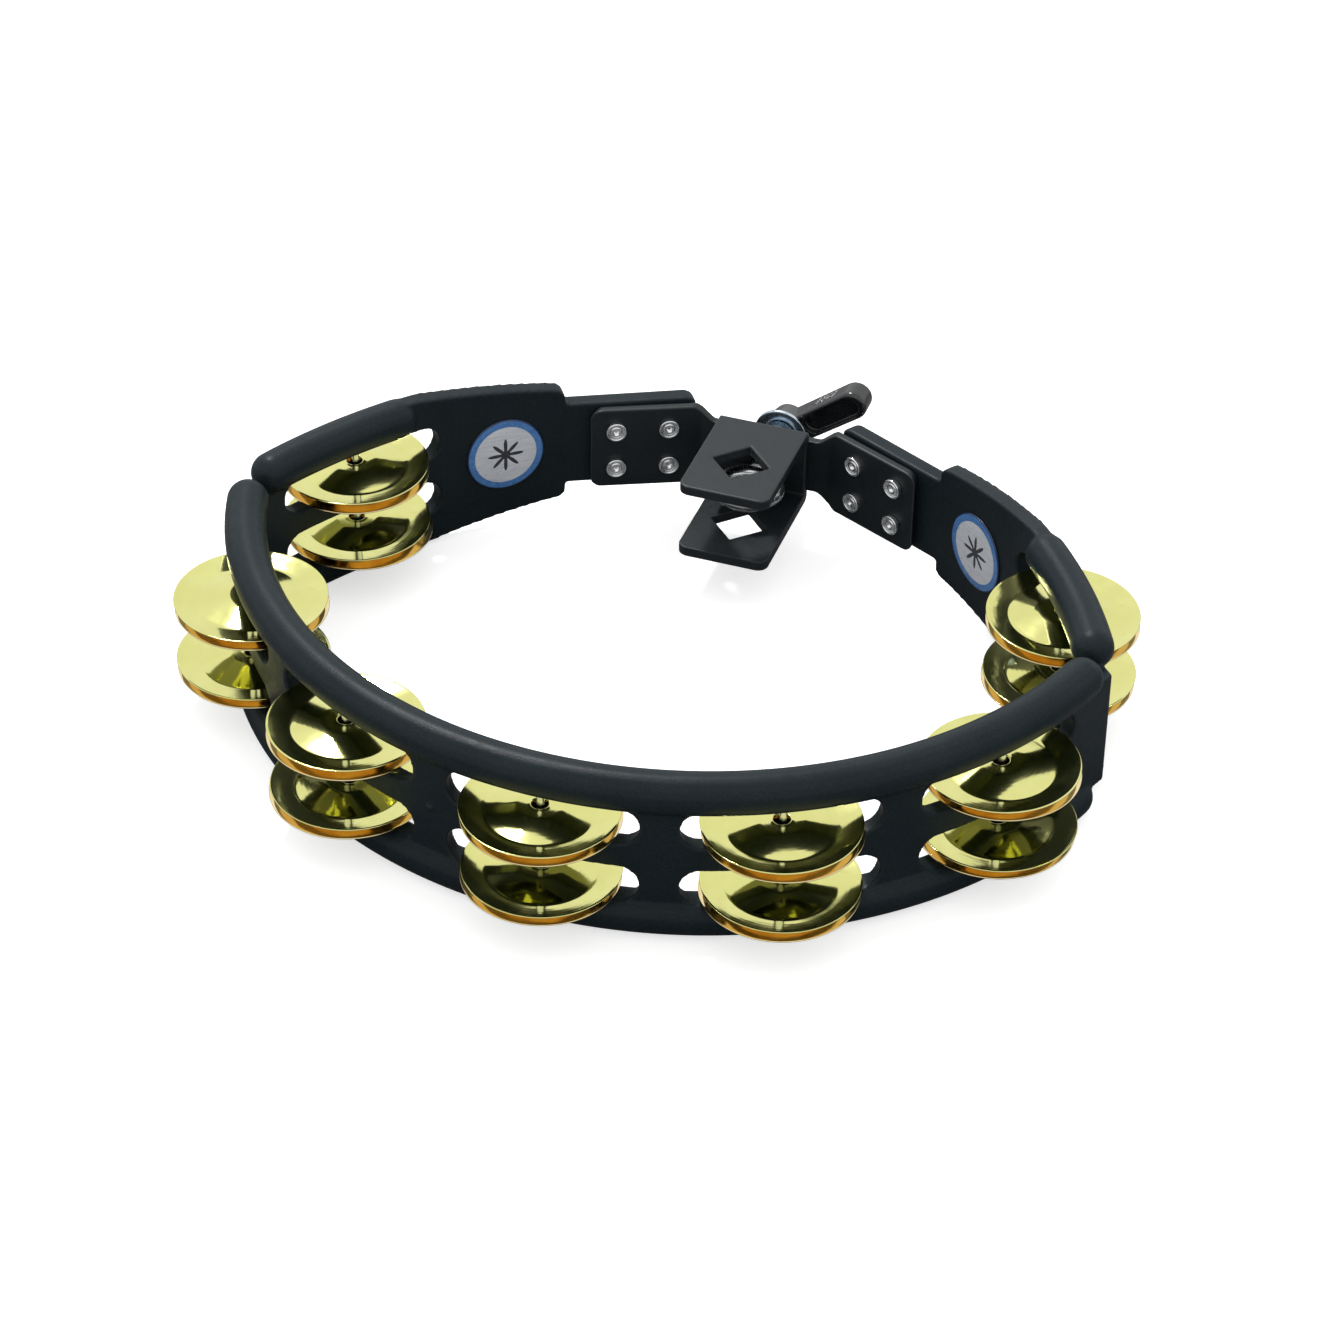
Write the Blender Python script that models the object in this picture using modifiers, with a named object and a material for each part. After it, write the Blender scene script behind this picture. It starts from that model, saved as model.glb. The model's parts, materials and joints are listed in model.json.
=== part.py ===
"""Clamp-mounted arc tambourine: a moulded hoop with jingles on pins, a riveted bracket and a rod clamp.

Metres, +Z up. -Y is the front of the hoop and +Y is the bracket side. The working coordinates start at
the centre of the hoop's arc at mid-height, and the root empty shifts the whole object so that its
overall box is centred on the origin.
"""
import math

import bmesh
import bpy
from mathutils import Matrix, Vector

# ---------------------------------------------------------------- driving dimensions
FIT_GAP = 0.0003

# hoop wall and its round rims
WALL_RADIUS = 0.1220
WALL_THICK = 0.0048
RIM_RADIUS = 0.1217
RIM_WIRE = 0.0057
RIM_Z = 0.01924
HOOP_END_DEG = 75.8
HOOP_STEPS = 23

# arms that leave the hoop's ends (left arm; the right one mirrors it)
ARM_CENTRE = (0.0365, -0.0913)
ARM_RADIUS = 0.1664
ARM_START_DEG = 158.4
ARM_END_DEG = 124.8
ARM_KINK_DEG = 139.2
ARM_RIM_END_DEG = 141.2
ARM_STEPS = 6
ARM_HALF_HEIGHT = 0.0244
ARM_TIP_HALF_HEIGHT = 0.0183
NECK_HALF_HEIGHT = 0.0193
NECK_HALF_LENGTH = 0.0075
NECK_BULGE = 0.0028
HOOP_RIM_SETBACK = 0.0018
ARM_RIM_SETBACK = 0.0022

# tongues and bracket legs
LEG_DEG = 26.6
LEG_OUTER_END = (-0.0475, 0.0451)
LEG_LENGTH = 0.0304
LEG_HALF_HEIGHT = 0.0128
STRAP_THICK = 0.0025
STRAP_HALF_HEIGHT = 0.0084
STRAP_Y = 0.0585
STRAP_Z = -0.0005
TONGUE_HALF_HEIGHT = 0.0132
TONGUE_RUN_BACK = 0.0070
CORNER = 0.0030

# jingle stations: angle from the hoop's front, or a place on the left arm
STATION_DEG = (-57.65, -28.64, 0.0, 28.64, 57.65)
STATION_RADIUS = 0.1222
ARM_STATION_DEG = 145.8
SLOT_LENGTH = 0.0514
SLOT_HEIGHT = 0.0108
SLOT_Z = 0.0091
SLOT_CUT_DEPTH = 0.0100
PIN_WIRE = 0.0011
PIN_BOTTOM_Z = -0.0245
PIN_TOP_Z = 0.0205

# jingle disc
DISC_RADIUS = 0.02057
DISC_THICK = 0.0006
VALLEY_RADIUS = 0.0154
VALLEY_DEPTH = 0.0009
BOSS_HEIGHT = 0.0006
DISC_HOLE = 0.0027
DISC_STEPS = 16
PAIR_GAP = 0.0003
TOP_PAIR_Z = 0.0098
BOTTOM_PAIR_Z = -0.0091

# rod clamp
CHANNEL_HALF_WIDTH = 0.0130
CHANNEL_FRONT_Y = 0.0198
CHANNEL_BACK_Y = 0.0582
CHANNEL_HALF_HEIGHT = 0.0117
CHANNEL_THICK = 0.0030
CHANNEL_BEND = 0.0021
CHANNEL_INNER_BEND = 0.0006
CHANNEL_RISE = 0.0019
BOLT_Z = -0.0016
ROD_Y = 0.0362
DIAMOND_HALF_X = 0.0082
DIAMOND_HALF_Y = 0.0084
EYE_Y = 0.0440
EYE_RADIUS = 0.0080
EYE_WIRE = 0.0022
BOLT_RADIUS = 0.0030
BOLT_END_Y = 0.0817
BOLT_HOLE_RADIUS = 0.0034
SPACER_RADIUS = 0.0048
WASHER_Y = 0.0725
WASHER_THICK = 0.0012
WASHER_RADIUS = 0.0077

# wing nut, along the bolt from its front face
NUT_FRONT_Y = WASHER_Y + WASHER_THICK + FIT_GAP
NUT_LENGTH = 0.0082
NUT_RADIUS = 0.0064
NUT_BACK_RADIUS = 0.0045
WING_SPAN = 0.0278
WING_DEPTH = 0.0076
WING_WAIST = 0.0008
WING_HALF_THICK = 0.0040
WING_OFFSET = 0.0020
WING_TILT_DEG = 37.0

# rivets and badges
RIVET_SPACING = 0.0150
RIVET_FIRST = 0.0073
RIVET_Z = 0.0061
RIVET_HEAD = 0.0029
RIVET_HEAD_HEIGHT = 0.0014
RIVET_SHANK = 0.0016
RIVET_TAIL = 0.0025
RIVET_TAIL_HEIGHT = 0.0008
RIVET_BORE = 0.0011
RIVET_BORE_DEPTH = 0.0012
BADGE_RADIUS = 0.0114
BADGE_THICK = 0.0004
BADGE_DEG = 130.1
BADGE_STANDOFF = 0.0006

FRONT_Y = -(STATION_RADIUS + DISC_RADIUS)
MIDDLE_Y = (FRONT_Y + NUT_FRONT_Y + NUT_LENGTH) / 2

# ---------------------------------------------------------------- scene set-up
for old in list(bpy.data.objects):
    bpy.data.objects.remove(old, do_unlink=True)

PARTS = bpy.data.collections.new("clamp_tambourine")
CUTTERS = bpy.data.collections.new("cutters")
bpy.context.scene.collection.children.link(PARTS)
bpy.context.scene.collection.children.link(CUTTERS)

ROOT = bpy.data.objects.new("tambourine_root", None)
ROOT.location = (0.0, -MIDDLE_Y, 0.0)
PARTS.objects.link(ROOT)

BOLT_AXIS = bpy.data.objects.new("bolt_axis", None)
BOLT_AXIS.location = (0.0, 0.0, BOLT_Z)
BOLT_AXIS.parent = ROOT
PARTS.objects.link(BOLT_AXIS)


def material(name, colour, roughness, metallic):
    """A Principled BSDF with one colour, roughness and metallic value."""
    made = bpy.data.materials.new(name)
    made.use_nodes = True
    shader = made.node_tree.nodes["Principled BSDF"]
    shader.inputs["Base Color"].default_value = (*colour, 1.0)
    shader.inputs["Roughness"].default_value = roughness
    shader.inputs["Metallic"].default_value = metallic
    return made


MOULDED_PLASTIC = material("moulded_plastic", (0.016, 0.020, 0.024), 0.45, 0.0)
BRASS = material("polished_brass", (0.78, 0.66, 0.22), 0.16, 1.0)
BRIGHT_STEEL = material("bright_steel", (0.62, 0.63, 0.65), 0.22, 1.0)
BLACK_STEEL = material("powder_coated_steel", (0.018, 0.019, 0.022), 0.40, 0.2)
ZINC = material("zinc_plate", (0.55, 0.62, 0.68), 0.25, 1.0)
GLOSS_PLASTIC = material("gloss_plastic", (0.010, 0.011, 0.013), 0.20, 0.0)
BADGE_PRINT = material("printed_badge", (0.10, 0.27, 0.60), 0.35, 0.0)


# ---------------------------------------------------------------- general helpers
def place(obj, name, look, parent=ROOT):
    """Name a finished part, give it its material and hang it on its parent."""
    obj.name = name
    obj.data.name = name
    for user in list(obj.users_collection):
        user.objects.unlink(obj)
    PARTS.objects.link(obj)
    obj.parent = parent
    obj.data.materials.clear()
    obj.data.materials.append(look)
    obj.data.shade_smooth()
    obj.data.set_sharp_from_angle(angle=math.radians(35))
    return obj


def as_cutter(obj, name, parent=ROOT):
    """Put a tool solid among the cutters, hidden from the render."""
    obj.name = name
    for user in list(obj.users_collection):
        user.objects.unlink(obj)
    CUTTERS.objects.link(obj)
    obj.parent = parent
    obj.hide_render = True
    obj.display_type = "WIRE"
    return obj


def combine(obj, tool, operation):
    """A Boolean with the exact solver."""
    step = obj.modifiers.new(tool.name, "BOOLEAN")
    step.solver = "EXACT"
    step.operation = operation
    step.object = tool
    return step


def curve_to_mesh(curve_obj, matrix=Matrix()):
    """The curve's solid as a mesh object with welded caps, with the matrix baked in."""
    bpy.context.view_layer.update()
    evaluated = curve_obj.evaluated_get(bpy.context.evaluated_depsgraph_get())
    mesh = bpy.data.meshes.new_from_object(evaluated)
    bpy.data.objects.remove(curve_obj, do_unlink=True)
    shape = bmesh.new()
    shape.from_mesh(mesh)
    bmesh.ops.remove_doubles(shape, verts=shape.verts, dist=1e-6)
    bmesh.ops.transform(shape, matrix=matrix, verts=shape.verts)
    bmesh.ops.recalc_face_normals(shape, faces=shape.faces)
    shape.to_mesh(mesh)
    shape.free()
    return link_mesh(mesh)


def link_mesh(mesh):
    obj = bpy.data.objects.new(mesh.name, mesh)
    CUTTERS.objects.link(obj)
    return obj


def curve_object(name, points, dimensions, cyclic):
    """A curve object with one POLY spline through the points."""
    curve = bpy.data.curves.new(name, "CURVE")
    curve.dimensions = dimensions
    spline = curve.splines.new("POLY")
    spline.points.add(len(points) - 1)
    for spot, point in zip(spline.points, points):
        spot.co = (*Vector(point).to_3d(), 1.0)
    spline.use_cyclic_u = cyclic
    obj = bpy.data.objects.new(name, curve)
    CUTTERS.objects.link(obj)
    return obj


def prism(name, outline, half_thick, matrix=Matrix()):
    """A flat outline in the local XY plane, thickened both ways along local Z."""
    obj = curve_object(name, outline, "2D", True)
    obj.data.fill_mode = "BOTH"
    obj.data.extrude = half_thick
    return curve_to_mesh(obj, matrix)


def rounded_rod(name, path, radius, flat_ends=0):
    """A round bar along the path, with domed ends."""
    dome_deg = (15, 40, 65, 90)
    start, end = Vector(path[0]), Vector(path[-1])
    run_in = (Vector(path[1]) - start).normalized()
    run_out = (end - Vector(path[-2])).normalized()
    head = [start - run_in * radius * math.cos(math.radians(a)) for a in dome_deg[:-1]]
    tail = [end + run_out * radius * math.cos(math.radians(a)) for a in reversed(dome_deg[:-1])]
    shrink = [math.sin(math.radians(a)) for a in dome_deg[:-1]]
    widths = shrink + [1.0] * len(path) + shrink[::-1]
    obj = curve_object(name, head + list(path) + tail, "3D", False)
    obj.data.twist_mode = "Z_UP"
    obj.data.bevel_depth = radius
    obj.data.bevel_resolution = 2
    obj.data.use_fill_caps = True
    for spot, width in zip(obj.data.splines[0].points, widths):
        spot.radius = width
    return curve_to_mesh(obj)


def join(name, objects):
    """Several solids as one mesh object, for use as one tool."""
    shape = bmesh.new()
    for obj in objects:
        shape.from_mesh(obj.data)
    mesh = bpy.data.meshes.new(name)
    shape.to_mesh(mesh)
    shape.free()
    for obj in objects:
        bpy.data.objects.remove(obj, do_unlink=True)
    return link_mesh(mesh)


def cylinder(name, radius, start, end, sides):
    """A closed cylinder from one point to another."""
    start, end = Vector(start), Vector(end)
    axis = end - start
    shape = bmesh.new()
    bmesh.ops.create_cone(
        shape, cap_ends=True, segments=sides, radius1=radius, radius2=radius, depth=axis.length
    )
    turn = axis.to_track_quat("Z", "Y").to_matrix().to_4x4()
    bmesh.ops.transform(shape, matrix=Matrix.Translation((start + end) / 2) @ turn, verts=shape.verts)
    mesh = bpy.data.meshes.new(name)
    shape.to_mesh(mesh)
    shape.free()
    return link_mesh(mesh)


def turned(name, profile, steps, closed):
    """A profile of (radius, height) pairs turned round local Z. It runs down its outer side."""
    edges = [(i, i + 1) for i in range(len(profile) - 1)]
    if closed:
        edges.append((len(profile) - 1, 0))
    mesh = bpy.data.meshes.new(name)
    mesh.from_pydata([(radius, 0.0, height) for radius, height in profile], edges, [])
    obj = link_mesh(mesh)
    turn = obj.modifiers.new("turn", "SCREW")
    turn.steps = steps
    turn.render_steps = steps
    turn.use_merge_vertices = True
    turn.merge_threshold = 0.00001
    return obj


def basis(origin, x_axis, y_axis):
    """A placement whose local X and Y run along the given directions."""
    x_axis, y_axis = Vector(x_axis).normalized(), Vector(y_axis).normalized()
    z_axis = x_axis.cross(y_axis)
    turn = Matrix((x_axis, y_axis, z_axis)).transposed().to_4x4()
    return Matrix.Translation(origin) @ turn


def on_circle(centre, radius, degrees):
    angle = math.radians(degrees)
    return Vector((centre[0] + radius * math.cos(angle), centre[1] + radius * math.sin(angle)))


def flip_x(points):
    """The mirror image of a run of plan points, in reverse order."""
    return [Vector((-p.x, p.y)) for p in reversed(points)]


def offset_path(points, distance):
    """A plan path moved sideways to its left, with mitred corners."""
    moved = []
    for i, point in enumerate(points):
        before = (point - points[i - 1]).normalized() if i else None
        after = (points[i + 1] - point).normalized() if i + 1 < len(points) else None
        along = [d for d in (before, after) if d is not None]
        normals = [Vector((-d.y, d.x)) for d in along]
        middle = sum(normals, Vector((0.0, 0.0))).normalized()
        moved.append(point + middle * distance / middle.dot(normals[0]))
    return moved


def ribbon(points, left, right):
    """The closed outline of a band that lies between two offsets of a plan path."""
    return offset_path(points, left) + offset_path(points, right)[::-1]


def arc_points(centre, radius, start_deg, end_deg, steps):
    step = (end_deg - start_deg) / steps
    return [on_circle(centre, radius, start_deg + step * i) for i in range(steps + 1)]


def mirrored(obj, axes):
    """Add the mirror images of a tool across the object's middle planes."""
    flip = obj.modifiers.new("mirror", "MIRROR")
    flip.use_axis = axes
    flip.use_mirror_merge = False
    flip.merge_threshold = 0.00001
    return obj


# ---------------------------------------------------------------- plan geometry shared by several parts
FRONT_DEG = 270.0
LEG_ALONG = Vector((math.cos(math.radians(LEG_DEG)), math.sin(math.radians(LEG_DEG))))
LEG_OUT = Vector((-LEG_ALONG.y, LEG_ALONG.x))
TONGUE_OFFSET = STRAP_THICK + FIT_GAP + WALL_THICK / 2


def hoop_path(radius, end_deg):
    """Plan points of the front arc, from its left end round the front to its right end."""
    return arc_points((0.0, 0.0), radius, FRONT_DEG - end_deg, FRONT_DEG + end_deg, HOOP_STEPS)


def arm_path(start_deg, end_deg, steps=ARM_STEPS):
    return arc_points(ARM_CENTRE, ARM_RADIUS, start_deg, end_deg, steps)


def tongue_path():
    """The left tongue's centre line, from its root to its free end."""
    start = Vector(LEG_OUTER_END) + LEG_OUT * TONGUE_OFFSET
    return [start - LEG_ALONG * TONGUE_RUN_BACK, start + LEG_ALONG * LEG_LENGTH]


def wall_path():
    """The whole wall's centre line in plan, from the left tongue's free end to the right one's."""
    left = tongue_path()[::-1] + arm_path(ARM_END_DEG, ARM_START_DEG)[1:-1]
    left.append(on_circle((0.0, 0.0), WALL_RADIUS + NECK_BULGE, FRONT_DEG - HOOP_END_DEG))
    return left + hoop_path(WALL_RADIUS, HOOP_END_DEG)[1:-1] + flip_x(left)


def stations():
    """The seven jingle stations from left to right: each pin's place, and the wall's direction there."""
    left_pin = on_circle(ARM_CENTRE, ARM_RADIUS, ARM_STATION_DEG)
    angle = math.radians(ARM_STATION_DEG - 90.0)
    left_along = Vector((math.cos(angle), math.sin(angle)))
    found = [(left_pin, left_along)]
    for degrees in STATION_DEG:
        pin = on_circle((0.0, 0.0), STATION_RADIUS, FRONT_DEG + degrees)
        angle = math.radians(degrees)
        found.append((pin, Vector((math.cos(angle), math.sin(angle)))))
    found.append((Vector((-left_pin.x, left_pin.y)), Vector((left_along.x, -left_along.y))))
    return found


def leg_point(along, inwards=0.0):
    """A plan point of the left leg's inner face, moved inwards from it."""
    return Vector(LEG_OUTER_END) + LEG_ALONG * along - LEG_OUT * inwards


# ---------------------------------------------------------------- hoop frame
def rims():
    """The round rims along the hoop and along both arms, at the top and the bottom."""
    reach = math.degrees((RIM_WIRE + HOOP_RIM_SETBACK) / RIM_RADIUS)
    front = hoop_path(RIM_RADIUS, HOOP_END_DEG - reach)
    inset = math.degrees((RIM_WIRE + ARM_RIM_SETBACK) / ARM_RADIUS)
    left = arm_path(ARM_START_DEG - inset, ARM_RIM_END_DEG, ARM_STEPS // 2)
    made = []
    for path in (front, left, flip_x(left)):
        for z in (RIM_Z, -RIM_Z):
            made.append(rounded_rod("rim", [p.to_3d() + Vector((0, 0, z)) for p in path], RIM_WIRE))
    return as_cutter(join("rims", made), "rims")


def side_profile_tool():
    """What is cut away above each arm's taper and tongue, and its mirror images."""
    kink = on_circle(ARM_CENTRE, ARM_RADIUS, ARM_KINK_DEG)
    arm_tip, tongue_tip = tongue_path()
    chord = (tongue_tip - kink).normalized()
    arm_run = (arm_tip - kink).dot(chord)
    full_run = (tongue_tip - kink).dot(chord)
    high = ARM_HALF_HEIGHT + 0.01
    shoulder = arc_points((arm_run - CORNER, ARM_TIP_HALF_HEIGHT - CORNER), CORNER, 80, 0, 3)
    tip = arc_points((full_run - CORNER, TONGUE_HALF_HEIGHT - CORNER), CORNER, 90, 0, 3)
    outline = [Vector((0.0, ARM_HALF_HEIGHT))] + shoulder
    outline += [Vector((arm_run, TONGUE_HALF_HEIGHT))] + tip
    outline += [Vector((full_run + 0.01, tip[-1].y)), Vector((full_run + 0.01, high)), Vector((0.0, high))]
    spot = basis(kink.to_3d(), chord.to_3d(), (0, 0, 1))
    return mirrored(as_cutter(prism("taper", outline, 0.022, spot), "taper_tool"), (True, False, True))


def neck_tool():
    """What is cut away above the plain wall between a hoop rim's end and an arm rim's start."""
    corner = hoop_path(WALL_RADIUS, HOOP_END_DEG)[0]
    half = NECK_HALF_LENGTH
    outline = [(-half, NECK_HALF_HEIGHT), (half, NECK_HALF_HEIGHT), (half, 0.03), (-half, 0.03)]
    spot = basis(corner.to_3d(), (0, 1, 0), (0, 0, 1))
    return mirrored(as_cutter(prism("neck", outline, 0.012, spot), "neck_tool"), (True, False, True))


def slot_tools():
    """Two round-ended slots at each station."""
    straight = SLOT_LENGTH / 2 - SLOT_HEIGHT / 2
    right = arc_points((straight, 0.0), SLOT_HEIGHT / 2, -90, 90, 5)
    outline = right + [Vector((-p.x, -p.y)) for p in right]
    made = []
    for pin, along in stations():
        for z in (SLOT_Z, -SLOT_Z):
            spot = basis((pin.x, pin.y, z), along.to_3d(), (0, 0, 1))
            made.append(prism("slot", outline, SLOT_CUT_DEPTH, spot))
    return as_cutter(join("slots", made), "slot_tools")


def pin_hole_tools():
    radius = PIN_WIRE + FIT_GAP
    made = []
    for pin, _ in stations():
        made.append(cylinder("hole", radius, (*pin, -0.03), (*pin, PIN_TOP_Z + FIT_GAP), 6))
    return as_cutter(join("pin_holes", made), "pin_hole_tools")


def rivet_hole_tools():
    """Clearance holes through both straps and both tongues."""
    made = []
    for centre, inwards in rivet_places():
        start = centre + inwards * 0.004
        end = centre - inwards * 0.012
        made.append(cylinder("hole", RIVET_SHANK + FIT_GAP, start, end, 8))
    return as_cutter(join("rivet_holes", made), "rivet_hole_tools")


def bolt_hole_tool():
    """A clearance hole through the strap and the channel's back."""
    start = (0, CHANNEL_BACK_Y - 0.008, 0)
    end = (0, CHANNEL_BACK_Y + 0.007, 0)
    return cylinder("bolt_hole", BOLT_HOLE_RADIUS, start, end, 12)


def rivet_places():
    """Each rivet's point on its leg's inner face, and the direction its head faces."""
    found = []
    for side in (1, -1):
        for row in (1, -1):
            for step in (0, 1):
                spot = leg_point(RIVET_FIRST + step * RIVET_SPACING)
                centre = Vector((spot.x * side, spot.y, STRAP_Z + row * RIVET_Z))
                found.append((centre, Vector((-LEG_OUT.x * side, -LEG_OUT.y, 0.0))))
    return found


def build_frame(rivet_holes):
    wall = prism("wall", ribbon(wall_path(), WALL_THICK / 2, -WALL_THICK / 2), ARM_HALF_HEIGHT)
    combine(wall, side_profile_tool(), "DIFFERENCE")
    combine(wall, neck_tool(), "DIFFERENCE")
    combine(wall, rims(), "UNION")
    combine(wall, slot_tools(), "DIFFERENCE")
    combine(wall, pin_hole_tools(), "DIFFERENCE")
    combine(wall, rivet_holes, "DIFFERENCE")
    return place(wall, "hoop_frame", MOULDED_PLASTIC)


def build_pins():
    for number, (pin, _) in enumerate(stations(), 1):
        rod = cylinder("pin", PIN_WIRE, (0, 0, PIN_BOTTOM_Z), (0, 0, PIN_TOP_Z), 6)
        rod.location = pin.to_3d()
        place(rod, f"jingle_pin_{number}", BRIGHT_STEEL)


# ---------------------------------------------------------------- jingles
def disc_profile():
    """Section of one upper disc: its rim's top edge is at height 0, and it sinks to a ring-shaped valley."""
    top = [(DISC_HOLE, BOSS_HEIGHT), (VALLEY_RADIUS, -VALLEY_DEPTH), (DISC_RADIUS, 0.0)]
    return top + [(radius, height - DISC_THICK) for radius, height in reversed(top)]


def build_jingles():
    """Two discs back to back in each slot: the lower one is the upper one turned over."""
    pair_height = 2 * (VALLEY_DEPTH + DISC_THICK) + PAIR_GAP
    for number, (pin, _) in enumerate(stations(), 1):
        for slot, pair_z in (("top", TOP_PAIR_Z), ("bottom", BOTTOM_PAIR_Z)):
            for rank, z, roll in (("upper", pair_z, 0.0), ("lower", pair_z - pair_height, math.pi)):
                disc = turned("disc", disc_profile(), DISC_STEPS, True)
                disc.location = (pin.x, pin.y, z)
                disc.rotation_euler.x = roll
                place(disc, f"jingle_{number}_{slot}_{rank}", BRASS)


# ---------------------------------------------------------------- bracket and rivets
def build_bracket(rivet_holes, bolt_hole):
    """A bent strap: two legs on the tongues, joined by a narrower middle."""
    middle_x = leg_point(LEG_LENGTH).x
    left = [leg_point(0.0), leg_point(LEG_LENGTH), Vector((middle_x + CORNER, STRAP_Y))]
    plan = left + flip_x(left)
    strap = prism("strap", ribbon(plan, STRAP_THICK, 0.0), LEG_HALF_HEIGHT + 0.002)
    outer_x = -leg_point(0.0).x
    waist_x = -middle_x - 0.0045
    corner = arc_points((outer_x - CORNER, LEG_HALF_HEIGHT - CORNER), CORNER, 90, 0, 3)
    quarter = [Vector((0.0, STRAP_HALF_HEIGHT)), Vector((waist_x, STRAP_HALF_HEIGHT))]
    quarter += [Vector((waist_x + 0.0012, STRAP_HALF_HEIGHT + 0.0006))]
    quarter += [Vector((-middle_x + 0.0005, LEG_HALF_HEIGHT))] + corner
    upper = flip_x(quarter)[:-1] + quarter
    outline = upper + [Vector((p.x, -p.y)) for p in reversed(upper)]
    side_view = prism("side", outline, 0.05, basis((0, STRAP_Y, STRAP_Z), (1, 0, 0), (0, 0, 1)))
    combine(strap, as_cutter(side_view, "bracket_side_view"), "INTERSECT")
    combine(strap, rivet_holes, "DIFFERENCE")
    combine(strap, bolt_hole, "DIFFERENCE")
    return place(strap, "mounting_bracket", BLACK_STEEL)


def rivet_profile():
    """Section of a tubular rivet. Height 0 is the strap's inner face and the head is above it."""
    seat = FIT_GAP
    grip = STRAP_THICK + FIT_GAP + WALL_THICK + FIT_GAP
    top = seat + RIVET_HEAD_HEIGHT
    return [
        (0.0, top - RIVET_BORE_DEPTH),
        (RIVET_BORE, top - RIVET_BORE_DEPTH),
        (RIVET_BORE, top),
        (RIVET_HEAD * 0.75, top),
        (RIVET_HEAD, top - RIVET_HEAD_HEIGHT * 0.6),
        (RIVET_HEAD, seat),
        (RIVET_SHANK, seat),
        (RIVET_SHANK, -grip),
        (RIVET_TAIL, -grip),
        (RIVET_TAIL, -grip - RIVET_TAIL_HEIGHT),
        (0.0, -grip - RIVET_TAIL_HEIGHT),
    ]


def build_rivets():
    for number, (centre, inwards) in enumerate(rivet_places(), 1):
        rivet = turned("rivet", rivet_profile(), 8, False)
        rivet.matrix_local = Matrix.Translation(centre) @ inwards.to_track_quat("Z", "Y").to_matrix().to_4x4()
        place(rivet, f"rivet_{number}", BRIGHT_STEEL)


# ---------------------------------------------------------------- rod clamp
def build_channel(bolt_hole):
    """A U-channel that opens forwards, with a square hole on its corner through each plate."""
    front, back = CHANNEL_FRONT_Y - 0.002, CHANNEL_BACK_Y
    high, bend = CHANNEL_HALF_HEIGHT, CHANNEL_BEND
    turn_y, turn_z = back - CHANNEL_THICK - CHANNEL_INNER_BEND, high - CHANNEL_THICK - CHANNEL_INNER_BEND
    outer = [Vector((front, high))] + arc_points((back - bend, high - bend), bend, 90, 0, 3)
    inner = arc_points((turn_y, turn_z), CHANNEL_INNER_BEND, 0, 90, 2)
    inner += [Vector((front, high - CHANNEL_THICK))]
    lower_outer = [Vector((p.x, -p.y)) for p in reversed(outer)]
    lower_inner = [Vector((p.x, -p.y)) for p in reversed(inner)]
    outline = outer + lower_outer + lower_inner + inner
    spot = basis((0, 0, CHANNEL_RISE), (0, 1, 0), (0, 0, 1))
    channel = prism("channel", outline, CHANNEL_HALF_WIDTH + 0.002, spot)

    half, nose = CHANNEL_HALF_WIDTH, CHANNEL_FRONT_Y
    corner = arc_points((half - CORNER, nose + CORNER), CORNER, -90, 0, 3)
    blank = corner + [Vector((half, back + 0.002))]
    blank += flip_x(blank)
    combine(channel, as_cutter(prism("blank", blank, 0.02), "channel_blank", BOLT_AXIS), "INTERSECT")
    diamond = [(DIAMOND_HALF_X, 0), (0, DIAMOND_HALF_Y), (-DIAMOND_HALF_X, 0), (0, -DIAMOND_HALF_Y)]
    hole = prism("diamond", diamond, 0.02, Matrix.Translation((0, ROD_Y, 0)))
    combine(channel, as_cutter(hole, "rod_hole_tool", BOLT_AXIS), "DIFFERENCE")
    combine(channel, bolt_hole, "DIFFERENCE")
    return place(channel, "clamp_channel", BLACK_STEEL, BOLT_AXIS)


def build_eye_bolt():
    """A ring that takes the rod, with a shank that runs back along the bolt's axis."""
    shank = cylinder("shank", BOLT_RADIUS, (0, EYE_Y + EYE_RADIUS, 0), (0, BOLT_END_Y, 0), 12)
    bpy.ops.mesh.primitive_torus_add(
        location=(0, 0, 0),
        major_segments=20,
        minor_segments=8,
        major_radius=EYE_RADIUS,
        minor_radius=EYE_WIRE,
    )
    eye = bpy.context.active_object
    eye.data.transform(Matrix.Translation((0, EYE_Y, 0)))
    combine(shank, as_cutter(eye, "eye_ring", BOLT_AXIS), "UNION")
    return place(shank, "eye_bolt", BRIGHT_STEEL, BOLT_AXIS)


def ring_on_bolt(name, outer, start, end, steps):
    """A plain ring round the bolt, between two places along it."""
    bore = BOLT_RADIUS + FIT_GAP
    section = [(bore, end - start), (outer, end - start), (outer, 0.0), (bore, 0.0)]
    ring = turned(name, section, steps, True)
    ring.matrix_local = basis((0, start, 0), (1, 0, 0), (0, 0, -1))
    return place(ring, name, ZINC, BOLT_AXIS)


def wing_outline():
    """One wing in plan: local X runs out from the bolt and local Y runs back along it."""
    root, tip_round = NUT_BACK_RADIUS * 0.6, WING_DEPTH * 0.42
    waist = (NUT_RADIUS + WING_SPAN) * 0.4
    middle = NUT_LENGTH - WING_DEPTH / 2
    low, high = middle - WING_DEPTH / 2, middle + WING_DEPTH / 2
    nose = arc_points((WING_SPAN - tip_round, low + tip_round), tip_round, -90, 0, 3)
    nose += arc_points((WING_SPAN - tip_round, high - tip_round), tip_round, 0, 90, 3)
    front = [Vector((root, low)), Vector((waist, low + WING_WAIST))]
    back = [Vector((waist, high - WING_WAIST)), Vector((root, high))]
    return front + nose + back


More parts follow.
